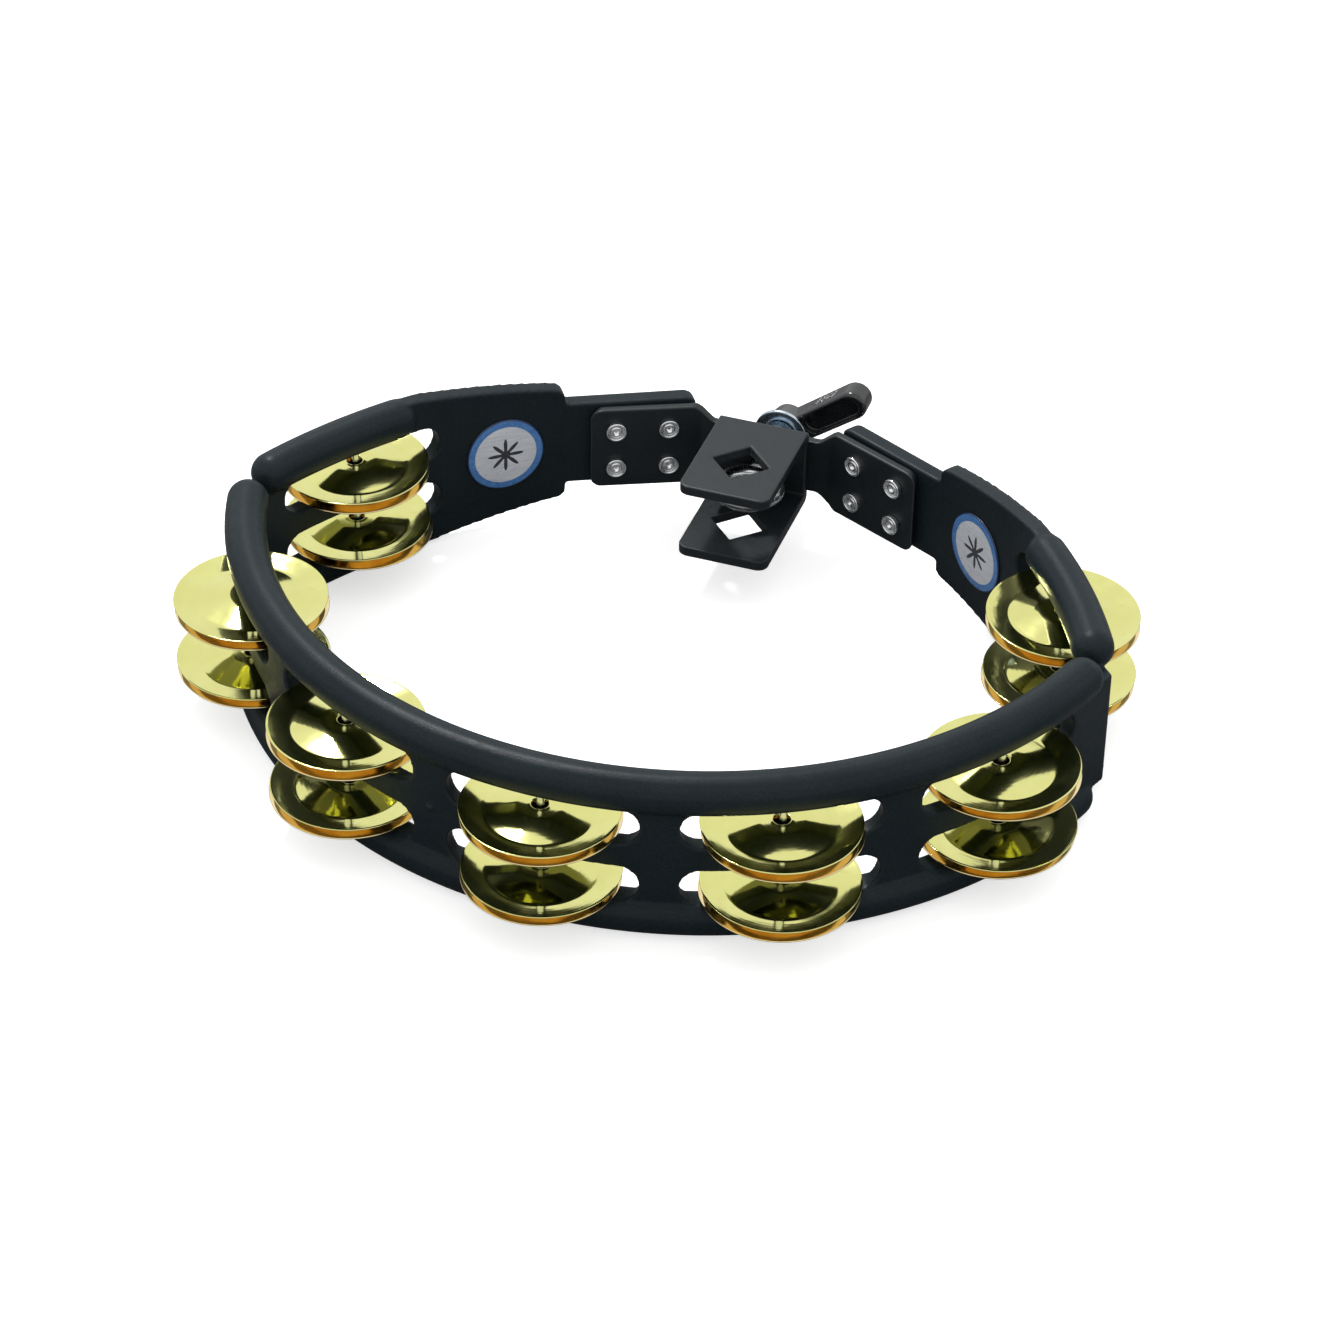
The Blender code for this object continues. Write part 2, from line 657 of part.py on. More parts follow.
def build_wing_nut():
    """A moulded conical hub, bored for the bolt, with two wings that are both set off to one side of it."""
    hub = cylinder("hub", 1.0, (0, 0, 0), (0, NUT_LENGTH, 0), 16)
    for corner in hub.data.vertices:
        width = NUT_RADIUS + (NUT_BACK_RADIUS - NUT_RADIUS) * corner.co.y / NUT_LENGTH
        corner.co = (corner.co.x * width, corner.co.y, corner.co.z * width)
    hub.location = (0, NUT_FRONT_Y, 0)
    for number, (side, offset) in enumerate(((0.0, -WING_OFFSET), (180.0, WING_OFFSET)), 1):
        tilt = Matrix.Rotation(math.radians(side - WING_TILT_DEG), 4, "Y")
        wing = prism("wing", wing_outline(), WING_HALF_THICK, tilt @ Matrix.Translation((0, 0, offset)))
        edge = wing.modifiers.new("round", "BEVEL")
        edge.width = 0.0014
        edge.segments = 2
        edge.limit_method = "ANGLE"
        edge.angle_limit = math.radians(50)
        wing.location = (0, NUT_FRONT_Y, 0)
        combine(hub, as_cutter(wing, f"wing_{number}", BOLT_AXIS), "UNION")
    start, end = NUT_FRONT_Y - 0.01, NUT_FRONT_Y + NUT_LENGTH + 0.01
    bore = cylinder("bore", BOLT_RADIUS + FIT_GAP, (0, start, 0), (0, end, 0), 12)
    combine(hub, as_cutter(bore, "nut_bore", BOLT_AXIS), "DIFFERENCE")
    return place(hub, "wing_nut", GLOSS_PLASTIC, BOLT_AXIS)


# ---------------------------------------------------------------- badges
def build_badges():
    """A plain round badge on each arm's inner face."""
    for name, side in (("badge_left", 1), ("badge_right", -1)):
        face = on_circle(ARM_CENTRE, ARM_RADIUS - WALL_THICK / 2, BADGE_DEG)
        inwards = (Vector(ARM_CENTRE) - face).normalized()
        centre = face + inwards * (BADGE_STANDOFF + BADGE_THICK)
        start = Vector((centre.x * side, centre.y, 0.0))
        end = start + Vector((inwards.x * side, inwards.y, 0.0)) * BADGE_THICK
        place(cylinder(name, BADGE_RADIUS, start, end, 24), name, BADGE_PRINT)


# ---------------------------------------------------------------- the assembly
RIVET_HOLES = rivet_hole_tools()
BOLT_HOLE = as_cutter(bolt_hole_tool(), "bolt_hole_tool", BOLT_AXIS)
build_frame(RIVET_HOLES)
build_pins()
build_jingles()
build_bracket(RIVET_HOLES, BOLT_HOLE)
build_rivets()
build_channel(BOLT_HOLE)
build_eye_bolt()
ring_on_bolt("spacer", SPACER_RADIUS, STRAP_Y + STRAP_THICK + FIT_GAP, WASHER_Y - FIT_GAP, 16)
ring_on_bolt("washer", WASHER_RADIUS, WASHER_Y, WASHER_Y + WASHER_THICK, 20)
build_wing_nut()
build_badges()
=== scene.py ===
"""The looks of the clamp-mounted arc tambourine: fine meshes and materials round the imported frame.

Metres, +Z up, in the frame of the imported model. Shapes are worked out in plan round the centre of the
hoop's arc, which is found from the front jingle pin, and shifted to their place at the end.
"""
import json
import math

import bmesh
import bpy
from mathutils import Matrix, Vector, noise

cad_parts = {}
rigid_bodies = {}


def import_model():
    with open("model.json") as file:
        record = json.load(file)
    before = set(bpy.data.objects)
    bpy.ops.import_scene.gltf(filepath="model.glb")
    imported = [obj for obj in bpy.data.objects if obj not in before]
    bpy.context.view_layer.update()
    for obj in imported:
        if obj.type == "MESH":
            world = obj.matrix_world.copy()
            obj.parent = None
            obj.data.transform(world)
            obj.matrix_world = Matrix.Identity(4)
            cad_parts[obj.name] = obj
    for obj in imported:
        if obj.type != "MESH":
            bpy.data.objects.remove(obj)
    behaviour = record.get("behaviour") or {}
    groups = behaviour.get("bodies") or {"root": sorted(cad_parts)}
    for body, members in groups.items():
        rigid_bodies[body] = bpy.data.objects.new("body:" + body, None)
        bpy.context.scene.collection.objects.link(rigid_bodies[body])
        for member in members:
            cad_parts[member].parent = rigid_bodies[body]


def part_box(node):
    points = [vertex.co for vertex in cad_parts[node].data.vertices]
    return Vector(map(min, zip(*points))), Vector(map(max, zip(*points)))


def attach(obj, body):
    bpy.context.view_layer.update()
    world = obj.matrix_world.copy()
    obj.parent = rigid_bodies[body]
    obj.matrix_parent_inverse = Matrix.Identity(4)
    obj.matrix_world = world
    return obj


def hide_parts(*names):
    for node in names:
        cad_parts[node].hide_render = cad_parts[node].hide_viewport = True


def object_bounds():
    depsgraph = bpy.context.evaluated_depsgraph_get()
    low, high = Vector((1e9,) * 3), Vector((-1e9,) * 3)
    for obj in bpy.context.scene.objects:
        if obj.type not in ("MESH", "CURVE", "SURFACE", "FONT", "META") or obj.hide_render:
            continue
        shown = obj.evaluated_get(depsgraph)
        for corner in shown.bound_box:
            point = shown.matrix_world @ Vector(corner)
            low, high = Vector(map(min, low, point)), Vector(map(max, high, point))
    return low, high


for leftover in list(bpy.data.objects):
    bpy.data.objects.remove(leftover, do_unlink=True)

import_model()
CAD_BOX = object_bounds()

# ---------------------------------------------------------------- sizes
# the hoop's wall and its rims, as radii round the arc's centre
WALL_RADIUS = 0.1220
WALL_THICK = 0.0048
RIM_RADIUS = 0.1217
RIM_BAR_RADIUS = 0.0057
RIM_Z = 0.01924
HOOP_END_DEG = 75.8
FRONT_DEG = 270.0
HOOP_STEPS = 152
NECK_SKIP = 7
HOOP_RIM_SETBACK = 0.0018

# the left arm, an arc round its own centre, and the neck that joins it to the hoop
ARM_CENTRE = (0.0365, -0.0913)
ARM_RADIUS = 0.1664
ARM_START_DEG = 158.4
ARM_END_DEG = 124.8
ARM_KINK_DEG = 139.2
ARM_RIM_END_DEG = 141.2
ARM_HALF_HEIGHT = 0.0244
ARM_TIP_HALF_HEIGHT = 0.0183
NECK_HALF_HEIGHT = 0.0172
GATE_RADIUS = 0.0009
GATE_DEG = 256.0
NECK_HALF_LENGTH = 0.0075
NECK_BULGE = 0.0014
ARM_RIM_SETBACK = 0.0022
ARM_STEPS = 40

# the strap with its two legs, and the arms' tongues behind the legs
LEG_DEG = 26.6
LEG_OUTER_END = (-0.0475, 0.0451)
LEG_LENGTH = 0.0304
LEG_HALF_HEIGHT = 0.0128
STRAP_THICK = 0.0025
STRAP_HALF_HEIGHT = 0.0084
STRAP_Y = 0.0585
STRAP_Z = -0.0005
STRAP_BEND = 0.0035
TONGUE_HALF_HEIGHT = 0.0132
TONGUE_RUN_BACK = 0.0070
STRAP_WAIST_INSET = 0.0045
STRAP_WAIST_STEP = 0.0005
STRAP_WAIST_BEND = 0.0022
CORNER = 0.0030
GAP = 0.0003

# how far a cutter or a blank runs past the piece
SHORT_PAST = 0.002
LONG_PAST = 0.01

# remeshing: voxel size and smoothing passes
FRAME_SOFTNESS = (0.00050, 7)
STEEL_SOFTNESS = (0.00028, 4)
NUT_SOFTNESS = (0.00020, 4)

# jingle stations, slots and pins
STATION_DEG = (-57.65, -28.64, 0.0, 28.64, 57.65)
STATION_RADIUS = 0.1222
ARM_STATION_DEG = 145.8
SLOT_LENGTH = 0.0514
SLOT_HEIGHT = 0.0108
SLOT_Z = 0.0091
PIN_RADIUS = 0.0011

# jingle discs
DISC_RADIUS = 0.02057
DISC_SHEET = 0.00038
VALLEY_RADIUS = 0.0144
VALLEY_DEPTH = 0.0012
BOSS_RADIUS = 0.0059
BOSS_HEIGHT = 0.0006
DISC_HOLE = 0.0022
HOLE_BEAD = 0.00030
DISC_RIM_INSET = 0.00022
DISC_WAVES = ((130.0, 0.000045), (420.0, 0.000010))
DISC_LEAN_DEG = 0.30
SLIDE_INWARDS = 0.00020
SLIDE_SWING = 0.00016
SLIDE_ALONG = 0.00024
SHIFTED_DISCS = {"jingle_1_bottom_lower": (0.0006, -0.0001), "jingle_6_bottom_lower": (-0.0002, 0.0003)}

# rod clamp and eye bolt
CHANNEL_HALF_WIDTH = 0.0130
CHANNEL_FRONT_Y = 0.0198
CHANNEL_BACK_Y = 0.0582
CHANNEL_HALF_HEIGHT = 0.0117
CHANNEL_THICK = 0.0030
CHANNEL_BEND = 0.0021
CHANNEL_INNER_BEND = 0.0006
ROD_Y = 0.0362
DIAMOND_HALF_X = 0.0082
DIAMOND_HALF_Y = 0.0084
EYE_RADIUS = 0.0080
EYE_BAR_RADIUS = 0.0022
EYE_Y = 0.0440
BOLT_RADIUS = 0.0030
BOLT_HOLE_RADIUS = 0.0034
THREAD_PITCH = 0.0010
THREAD_DEPTH = 0.0006
THREAD_CREST = 0.00012
PLAIN_SHANK = 0.003

# wing nut
NUT_RADIUS = 0.0064
NUT_BACK_RADIUS = 0.0045
WING_SPAN = 0.0278
WING_DEPTH = 0.0076
WING_ROOT = 0.0041
WING_ROOT_X = 0.0035
WING_TIP_SWELL = 0.0004
POCKET_DEPTH = 0.0020
POCKET_START_X = 0.0100
POCKET_EDGE = 0.0004
POCKET_ROOT_WALL = 0.0010
POCKET_TIP_WALL = 0.0011
POCKET_TIP_INSET = 0.0012
BAR_FIRST = 0.0122
BAR_PITCH = 0.0019
BAR_WIDTH = 0.0007
BAR_SLANT = 0.0014
BAR_FRONT_INSET = 0.0024
BAR_BACK_INSET = 0.0018
BAR_HEIGHT = 0.0003
WING_HALF_THICK = 0.0040
WING_OFFSET = 0.0020
WING_TILT_DEG = 37.0

# tubular rivets
RIVET_SPACING = 0.0150
RIVET_FIRST = 0.0073
RIVET_Z = 0.0061
RIVET_HEAD = 0.0029
RIVET_HEAD_HEIGHT = 0.0014
RIVET_SHANK = 0.0016
RIVET_TAIL = 0.0025
RIVET_TAIL_HEIGHT = 0.0008
RIVET_TAIL_EDGE = 0.0004
RIVET_ROLL = 0.00030
RIVET_GROOVE = 0.00025
RIVET_GROOVE_DEPTH = 0.00075
RIVET_CUP_X = 0.00125
RIVET_CUP = 0.00060
RIVET_CORE = 0.00040
RIVET_CORE_DEPTH = 0.00085

# badges
BADGE_RADIUS = 0.0114
BADGE_THICK = 0.0004
BADGE_DEG = 130.1
BADGE_EDGE = 0.00018
BADGE_DOME = 0.00025
BADGE_LIFT = 0.00015

# ---------------------------------------------------------------- places taken from the frame
PIN_LOW, PIN_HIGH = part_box("jingle_pin_4")
HOOP_Y = (PIN_LOW.y + PIN_HIGH.y) / 2 + STATION_RADIUS
SHIFT = Vector((0.0, HOOP_Y, 0.0))
WASHER_LOW, WASHER_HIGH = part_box("washer")
SPACER_LOW, SPACER_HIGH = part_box("spacer")
NUT_LOW, NUT_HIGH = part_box("wing_nut")
BOLT_BACK_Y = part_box("eye_bolt")[1].y
CHANNEL_LOW, CHANNEL_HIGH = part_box("clamp_channel")
BOLT_Z = (WASHER_LOW.z + WASHER_HIGH.z) / 2
CHANNEL_Z = (CHANNEL_LOW.z + CHANNEL_HIGH.z) / 2


# ---------------------------------------------------------------- mesh helpers
def link(name, mesh):
    obj = bpy.data.objects.new(name, mesh)
    bpy.context.scene.collection.objects.link(obj)
    return obj


def discard(*objects):
    for obj in objects:
        bpy.data.objects.remove(obj, do_unlink=True)


def baked(obj):
    """Apply the object's modifiers, or its curve, to a plain mesh object of the same name."""
    bpy.context.view_layer.update()
    evaluated = obj.evaluated_get(bpy.context.evaluated_depsgraph_get())
    mesh = bpy.data.meshes.new_from_object(evaluated)
    name = obj.name
    place = obj.matrix_world.copy()
    discard(obj)
    made = link(name, mesh)
    made.matrix_world = place
    return made


def weld(obj, distance=1e-6):
    shape = bmesh.new()
    shape.from_mesh(obj.data)
    bmesh.ops.remove_doubles(shape, verts=shape.verts, dist=distance)
    bmesh.ops.recalc_face_normals(shape, faces=shape.faces)
    shape.to_mesh(obj.data)
    shape.free()
    return obj


def curve_object(name, points, dimensions, cyclic):
    curve = bpy.data.curves.new(name, "CURVE")
    curve.dimensions = dimensions
    spline = curve.splines.new("POLY")
    spline.points.add(len(points) - 1)
    for spot, point in zip(spline.points, points):
        spot.co = (*Vector(point).to_3d(), 1.0)
    spline.use_cyclic_u = cyclic
    return link(name, curve)


def prism(name, outline, half_thick, matrix=Matrix()):
    """A flat outline in the local XY plane, thickened both ways along local Z."""
    obj = curve_object(name, outline, "2D", True)
    obj.data.fill_mode = "BOTH"
    obj.data.extrude = half_thick
    obj = weld(baked(obj))
    obj.data.transform(matrix)
    return obj


def rounded_rod(name, path, radius, sides=6):
    """A round bar along the path, with domed ends."""
    dome_deg = range(8, 90, 8)
    start, end = Vector(path[0]), Vector(path[-1])
    run_in = (Vector(path[1]) - start).normalized()
    run_out = (end - Vector(path[-2])).normalized()
    head = [start - run_in * radius * math.cos(math.radians(a)) for a in dome_deg]
    tail = [end + run_out * radius * math.cos(math.radians(a)) for a in reversed(dome_deg)]
    shrink = [math.sin(math.radians(a)) for a in dome_deg]
    obj = curve_object(name, head + list(path) + tail, "3D", False)
    obj.data.twist_mode = "MINIMUM"
    obj.data.bevel_depth = radius
    obj.data.bevel_resolution = sides
    obj.data.use_fill_caps = True
    for spot, width in zip(obj.data.splines[0].points, shrink + [1.0] * len(path) + shrink[::-1]):
        spot.radius = width
    return weld(baked(obj))


def cylinder(name, radius, start, end, sides=48):
    start, end = Vector(start), Vector(end)
    axis = end - start
    shape = bmesh.new()
    bmesh.ops.create_cone(
        shape, cap_ends=True, segments=sides, radius1=radius, radius2=radius, depth=axis.length
    )
    turn = axis.to_track_quat("Z", "Y").to_matrix().to_4x4()
    bmesh.ops.transform(shape, matrix=Matrix.Translation((start + end) / 2) @ turn, verts=shape.verts)
    mesh = bpy.data.meshes.new(name)
    shape.to_mesh(mesh)
    shape.free()
    return link(name, mesh)


def turned(name, profile, steps, closed=False):
    """A profile of (radius, height) pairs turned round local Z."""
    edges = [(i, i + 1) for i in range(len(profile) - 1)]
    if closed:
        edges.append((len(profile) - 1, 0))
    mesh = bpy.data.meshes.new(name)
    mesh.from_pydata([(radius, 0.0, height) for radius, height in profile], edges, [])
    obj = link(name, mesh)
    turn = obj.modifiers.new("turn", "SCREW")
    turn.steps = steps
    turn.render_steps = steps
    turn.use_merge_vertices = True
    turn.merge_threshold = 1e-6
    return weld(baked(obj))


def joined(name, objects):
    shape = bmesh.new()
    for obj in objects:
        shape.from_mesh(obj.data)
    mesh = bpy.data.meshes.new(name)
    shape.to_mesh(mesh)
    shape.free()
    discard(*objects)
    return link(name, mesh)


def combine(obj, tools, operation):
    """Exact Booleans, one after another, applied at once."""
    for tool in tools:
        step = obj.modifiers.new(operation, "BOOLEAN")
        step.solver = "EXACT"
        step.operation = operation
        step.object = tool
    made = baked(obj)
    discard(*tools)
    return made


def softened(obj, voxel, passes):
    """Remesh on a fine grid and smooth, which rounds every edge a little."""
    grid = obj.modifiers.new("grid", "REMESH")
    grid.mode = "VOXEL"
    grid.voxel_size = voxel * 1.0
    soft = obj.modifiers.new("soft", "SMOOTH")
    soft.factor = 0.5
    soft.iterations = passes
    return baked(obj)


def basis(origin, x_axis, y_axis):
    x_axis, y_axis = Vector(x_axis).normalized(), Vector(y_axis).normalized()
    turn = Matrix((x_axis, y_axis, x_axis.cross(y_axis))).transposed().to_4x4()
    return Matrix.Translation(origin) @ turn


def finish_piece(obj, name, body, slot, *nodes):
    """Name a piece, give it its slot's look, let it ride on its body and stand for its CAD nodes."""
    obj.name = name
    obj.data.name = name
    obj.data.materials.clear()
    obj.data.materials.append(LOOKS[slot])
    obj.data.shade_smooth()
    obj.data.set_sharp_from_angle(angle=math.radians(50))
    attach(obj, body)
    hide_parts(*nodes)


# ---------------------------------------------------------------- plan geometry
def on_circle(centre, radius, degrees):
    angle = math.radians(degrees)
    return Vector((centre[0] + radius * math.cos(angle), centre[1] + radius * math.sin(angle)))


def arc_points(centre, radius, start_deg, end_deg, steps):
    step = (end_deg - start_deg) / steps
    return [on_circle(centre, radius, start_deg + step * i) for i in range(steps + 1)]


def flip_x(points):
    return [Vector((-p.x, p.y)) for p in reversed(points)]


def offset_path(points, distance):
    """A plan path moved sideways to its left, with mitred corners."""
    moved = []
    for i, point in enumerate(points):
        before = (point - points[i - 1]).normalized() if i else None
        after = (points[i + 1] - point).normalized() if i + 1 < len(points) else None
        normals = [Vector((-d.y, d.x)) for d in (before, after) if d is not None]
        middle = sum(normals, Vector((0.0, 0.0))).normalized()
        moved.append(point + middle * distance / middle.dot(normals[0]))
    return moved


def ribbon(points, left, right):
    return offset_path(points, left) + offset_path(points, right)[::-1]


def filleted(points, radius, steps=8):
    """A plan path whose inner corners are rounded."""
    rounded = [points[0]]
    for before, corner, after in zip(points, points[1:], points[2:]):
        towards, away = (before - corner).normalized(), (after - corner).normalized()
        half = towards.angle(away) / 2
        run = radius / math.tan(half)
        centre = corner + (towards + away).normalized() * radius / math.sin(half)
        start, end = corner + towards * run - centre, corner + away * run - centre
        for i in range(steps + 1):
            spoke = start.lerp(end, i / steps).normalized() * radius
            rounded.append(centre + spoke)
    return rounded + [points[-1]]


LEG_ALONG = Vector((math.cos(math.radians(LEG_DEG)), math.sin(math.radians(LEG_DEG))))
LEG_OUT = Vector((-LEG_ALONG.y, LEG_ALONG.x))
TONGUE_OFFSET = STRAP_THICK + GAP + WALL_THICK / 2


def hoop_path(radius, end_deg):
    return arc_points((0.0, 0.0), radius, FRONT_DEG - end_deg, FRONT_DEG + end_deg, HOOP_STEPS)


def arm_path(start_deg, end_deg, steps=ARM_STEPS):
    return arc_points(ARM_CENTRE, ARM_RADIUS, start_deg, end_deg, steps)


def tongue_path():
    start = Vector(LEG_OUTER_END) + LEG_OUT * TONGUE_OFFSET
    return [start - LEG_ALONG * TONGUE_RUN_BACK, start + LEG_ALONG * LEG_LENGTH]


def wall_path():
    left = tongue_path()[::-1] + arm_path(ARM_END_DEG, ARM_START_DEG)[1:-1]
    left.append(on_circle((0.0, 0.0), WALL_RADIUS + NECK_BULGE, FRONT_DEG - HOOP_END_DEG))
    return left + hoop_path(WALL_RADIUS, HOOP_END_DEG)[NECK_SKIP:-NECK_SKIP] + flip_x(left)


def stations():
    """The seven jingle stations from left to right: each pin's place, and the wall's direction there."""
    left_pin = on_circle(ARM_CENTRE, ARM_RADIUS, ARM_STATION_DEG)
    angle = math.radians(ARM_STATION_DEG - 90.0)
    left_along = Vector((math.cos(angle), math.sin(angle)))
    found = [(left_pin, left_along)]
    for degrees in STATION_DEG:
        pin = on_circle((0.0, 0.0), STATION_RADIUS, FRONT_DEG + degrees)
        angle = math.radians(degrees)
        found.append((pin, Vector((math.cos(angle), math.sin(angle)))))
    found.append((Vector((-left_pin.x, left_pin.y)), Vector((left_along.x, -left_along.y))))
    return found


def leg_point(along, inwards=0.0):
    return Vector(LEG_OUTER_END) + LEG_ALONG * along - LEG_OUT * inwards


def rivet_places():
    """Each rivet's point on its leg's inner face, and the direction its head faces."""
    found = []
    for side in (1, -1):
        for row in (1, -1):
            for step in (0, 1):
                spot = leg_point(RIVET_FIRST + step * RIVET_SPACING)
                centre = Vector((spot.x * side, spot.y, STRAP_Z + row * RIVET_Z))
                found.append((centre, Vector((-LEG_OUT.x * side, -LEG_OUT.y, 0.0))))
    return found


# ---------------------------------------------------------------- node helpers
class Shader:
    """A material's node tree, with short calls for the nodes that the looks below share."""

    def __init__(self, name):
        self.material = bpy.data.materials.new(name)
        self.material.use_nodes = True
        self.tree = self.material.node_tree
        self.surface = self.tree.nodes["Principled BSDF"]
        self.place = self.tree.nodes.new("ShaderNodeTexCoord").outputs["Object"]

    def set(self, **values):
        for key, value in values.items():
            self.surface.inputs[key.replace("_", " ")].default_value = value
        return self

    def feed(self, key, socket):
        self.tree.links.new(socket, self.surface.inputs[key])
        return self

    def noise(self, scale, detail=3.0, roughness=0.55, stretch=None):
        node = self.tree.nodes.new("ShaderNodeTexNoise")
        node.inputs["Scale"].default_value = scale
        node.inputs["Detail"].default_value = detail
        node.inputs["Roughness"].default_value = roughness
        source = self.place
        if stretch:
            mapping = self.tree.nodes.new("ShaderNodeMapping")
            mapping.inputs["Scale"].default_value = stretch
            self.tree.links.new(self.place, mapping.inputs["Vector"])
            source = mapping.outputs["Vector"]
        self.tree.links.new(source, node.inputs["Vector"])
        return node.outputs["Fac"]

    def rings(self, scale, distortion=0.3):
        node = self.tree.nodes.new("ShaderNodeTexWave")
        node.wave_type = "RINGS"
        node.rings_direction = "Z"
        node.inputs["Scale"].default_value = scale
        node.inputs["Distortion"].default_value = distortion
        node.inputs["Detail"].default_value = 2.0
        self.tree.links.new(self.place, node.inputs["Vector"])
        return node.outputs["Fac"]

    def attribute(self, name):
        node = self.tree.nodes.new("ShaderNodeAttribute")
        node.attribute_name = name
        return node.outputs["Fac"]

    def pointiness(self):
        return self.tree.nodes.new("ShaderNodeNewGeometry").outputs["Pointiness"]

    def map(self, fac, stops):
        """Colours along a ramp: each stop is a place and an RGB triple or one grey value."""
        node = self.tree.nodes.new("ShaderNodeValToRGB")
        ramp = node.color_ramp
        while len(ramp.elements) < len(stops):
            ramp.elements.new(0.5)
        for element, (where, colour) in zip(ramp.elements, stops):
            rgb = (colour,) * 3 if isinstance(colour, (int, float)) else colour
            element.position = where
            element.color = (*rgb, 1.0)
        self.tree.links.new(fac, node.inputs["Fac"])
        return node.outputs["Color"]

    def clouds(self, scale, detail, *stops):
        """Noise of a given scale and detail, run through a ramp."""
        return self.map(self.noise(scale, detail), stops)

    def mix(self, fac, first, second, mode="MIX"):
        node = self.tree.nodes.new("ShaderNodeMix")
        node.data_type = "RGBA"
        node.blend_type = mode
        for key, value in ((0, fac), (6, first), (7, second)):
            if isinstance(value, bpy.types.NodeSocket):
                self.tree.links.new(value, node.inputs[key])
            elif key == 0:
                node.inputs[key].default_value = value
            else:
                node.inputs[key].default_value = (*value, 1.0)
        return node.outputs[2]

    def math(self, operation, first, second=0.0):
        node = self.tree.nodes.new("ShaderNodeMath")
        node.operation = operation
        for socket, value in zip(node.inputs, (first, second)):
            if isinstance(value, bpy.types.NodeSocket):
                self.tree.links.new(value, socket)
            else:
                socket.default_value = value
        return node.outputs[0]

    def bump(self, *layers):
        """Height layers of (socket, strength, distance in metres), each on top of the last."""
        normal = None
        for height, strength, distance in layers:
            node = self.tree.nodes.new("ShaderNodeBump")
            node.inputs["Strength"].default_value = strength
            node.inputs["Distance"].default_value = distance
            self.tree.links.new(height, node.inputs["Height"])
            if normal:
                self.tree.links.new(normal, node.inputs["Normal"])
            normal = node.outputs["Normal"]
        return self.feed("Normal", normal)


def moulded_plastic():
    """Satin black moulding: fine grain, cloudy sheen, and edges made a little lighter by a painted
    highlight.
    """
    look = Shader("moulded_plastic")
    cloud = look.clouds(55.0, 5.0, (0.30, (0.0090, 0.0150, 0.0185)), (0.75, (0.0135, 0.0205, 0.0240)))
    speck = look.clouds(1900.0, 2.0, (0.35, 0.80), (0.70, 1.20))
    grained = look.mix(1.0, cloud, speck, "MULTIPLY")
    # painted highlight: convex edges are lightened in the base colour
    edge_highlight = look.map(look.pointiness(), ((0.505, 0.0), (0.560, 0.40)))
    look.feed("Base Color", look.mix(edge_highlight, grained, (0.034, 0.041, 0.045)))
    look.feed("Roughness", look.clouds(240.0, 4.0, (0.25, 0.30), (0.80, 0.44)))
    look.bump((look.noise(2600.0, 2.0), 0.26, 0.00020), (look.noise(330.0, 3.0), 0.10, 0.00030))
    return look.set(Specular_IOR_Level=0.12).material


def polished_brass():
    """Pale yellow mirror brass with spun rings and faint smudges, and a painted coppery reflection on its
    inner face.
    """
    look = Shader("polished_brass")
    tone = look.clouds(70.0, 4.0, (0.30, (0.715, 0.705, 0.245)), (0.70, (0.785, 0.780, 0.315)))
    stain = look.map(look.noise(160.0, 5.0, 0.7), ((0.62, 0.0), (0.78, 0.22)))
    outer = look.mix(stain, tone, (0.55, 0.43, 0.15))
    # painted reflection: the inner face is tinted coppery for the brass-on-brass reflection within a pair
    painted_copper_reflection = look.clouds(140.0, 4.0, (0.30, (0.83, 0.66, 0.34)), (0.70, (0.87, 0.75, 0.45)))
    look.feed("Base Color", look.mix(look.attribute("inner"), outer, painted_copper_reflection))
    look.feed("Roughness", look.clouds(110.0, 5.0, (0.35, 0.060), (0.72, 0.150)))
    look.bump((look.rings(260.0, 0.8), 0.022, 0.00008), (look.noise(210.0, 2.0), 0.045, 0.00025))
    return look.set(Metallic=1.0).material


def bright_steel():
    """Bright plated steel with fine drawing lines and light smears."""
    look = Shader("bright_steel")
    look.feed("Base Color", look.clouds(300.0, 4.0, (0.30, (0.74, 0.76, 0.77)), (0.75, (0.92, 0.93, 0.93))))
    look.feed("Roughness", look.clouds(420.0, 4.0, (0.30, 0.16), (0.75, 0.32)))
    look.bump((look.noise(900.0, 3.0, stretch=(1.0, 1.0, 0.12)), 0.10, 0.00010))
    return look.set(Metallic=1.0).material


def powder_coated_steel():
    """Satin black powder coat: orange peel, fine sparkle and edges that catch the light."""
    look = Shader("powder_coated_steel")
    tone = look.clouds(90.0, 4.0, (0.30, (0.0080, 0.0118, 0.0142)), (0.75, (0.0122, 0.0168, 0.0195)))
    # painted highlight: convex edges are lightened in the base colour where they would catch the light
    edge_highlight = look.map(look.pointiness(), ((0.510, 0.0), (0.575, 0.60)))
    look.feed("Base Color", look.mix(edge_highlight, tone, (0.060, 0.066, 0.069)))
    look.feed("Roughness", look.clouds(500.0, 3.0, (0.25, 0.34), (0.80, 0.48)))
    look.bump((look.noise(1500.0, 2.0), 0.14, 0.00022), (look.noise(420.0, 2.0), 0.10, 0.00030))
    return look.set(Specular_IOR_Level=0.27).material


def zinc_plate():
    """Bluish bright zinc, slightly mottled, with turning marks."""
    look = Shader("zinc_plate")
    look.feed("Base Color", look.clouds(380.0, 4.0, (0.30, (0.38, 0.47, 0.56)), (0.75, (0.62, 0.70, 0.76))))
    look.feed("Roughness", look.clouds(520.0, 4.0, (0.30, 0.16), (0.75, 0.34)))
    look.bump((look.rings(1100.0, 0.5), 0.06, 0.00010))
    return look.set(Metallic=1.0).material


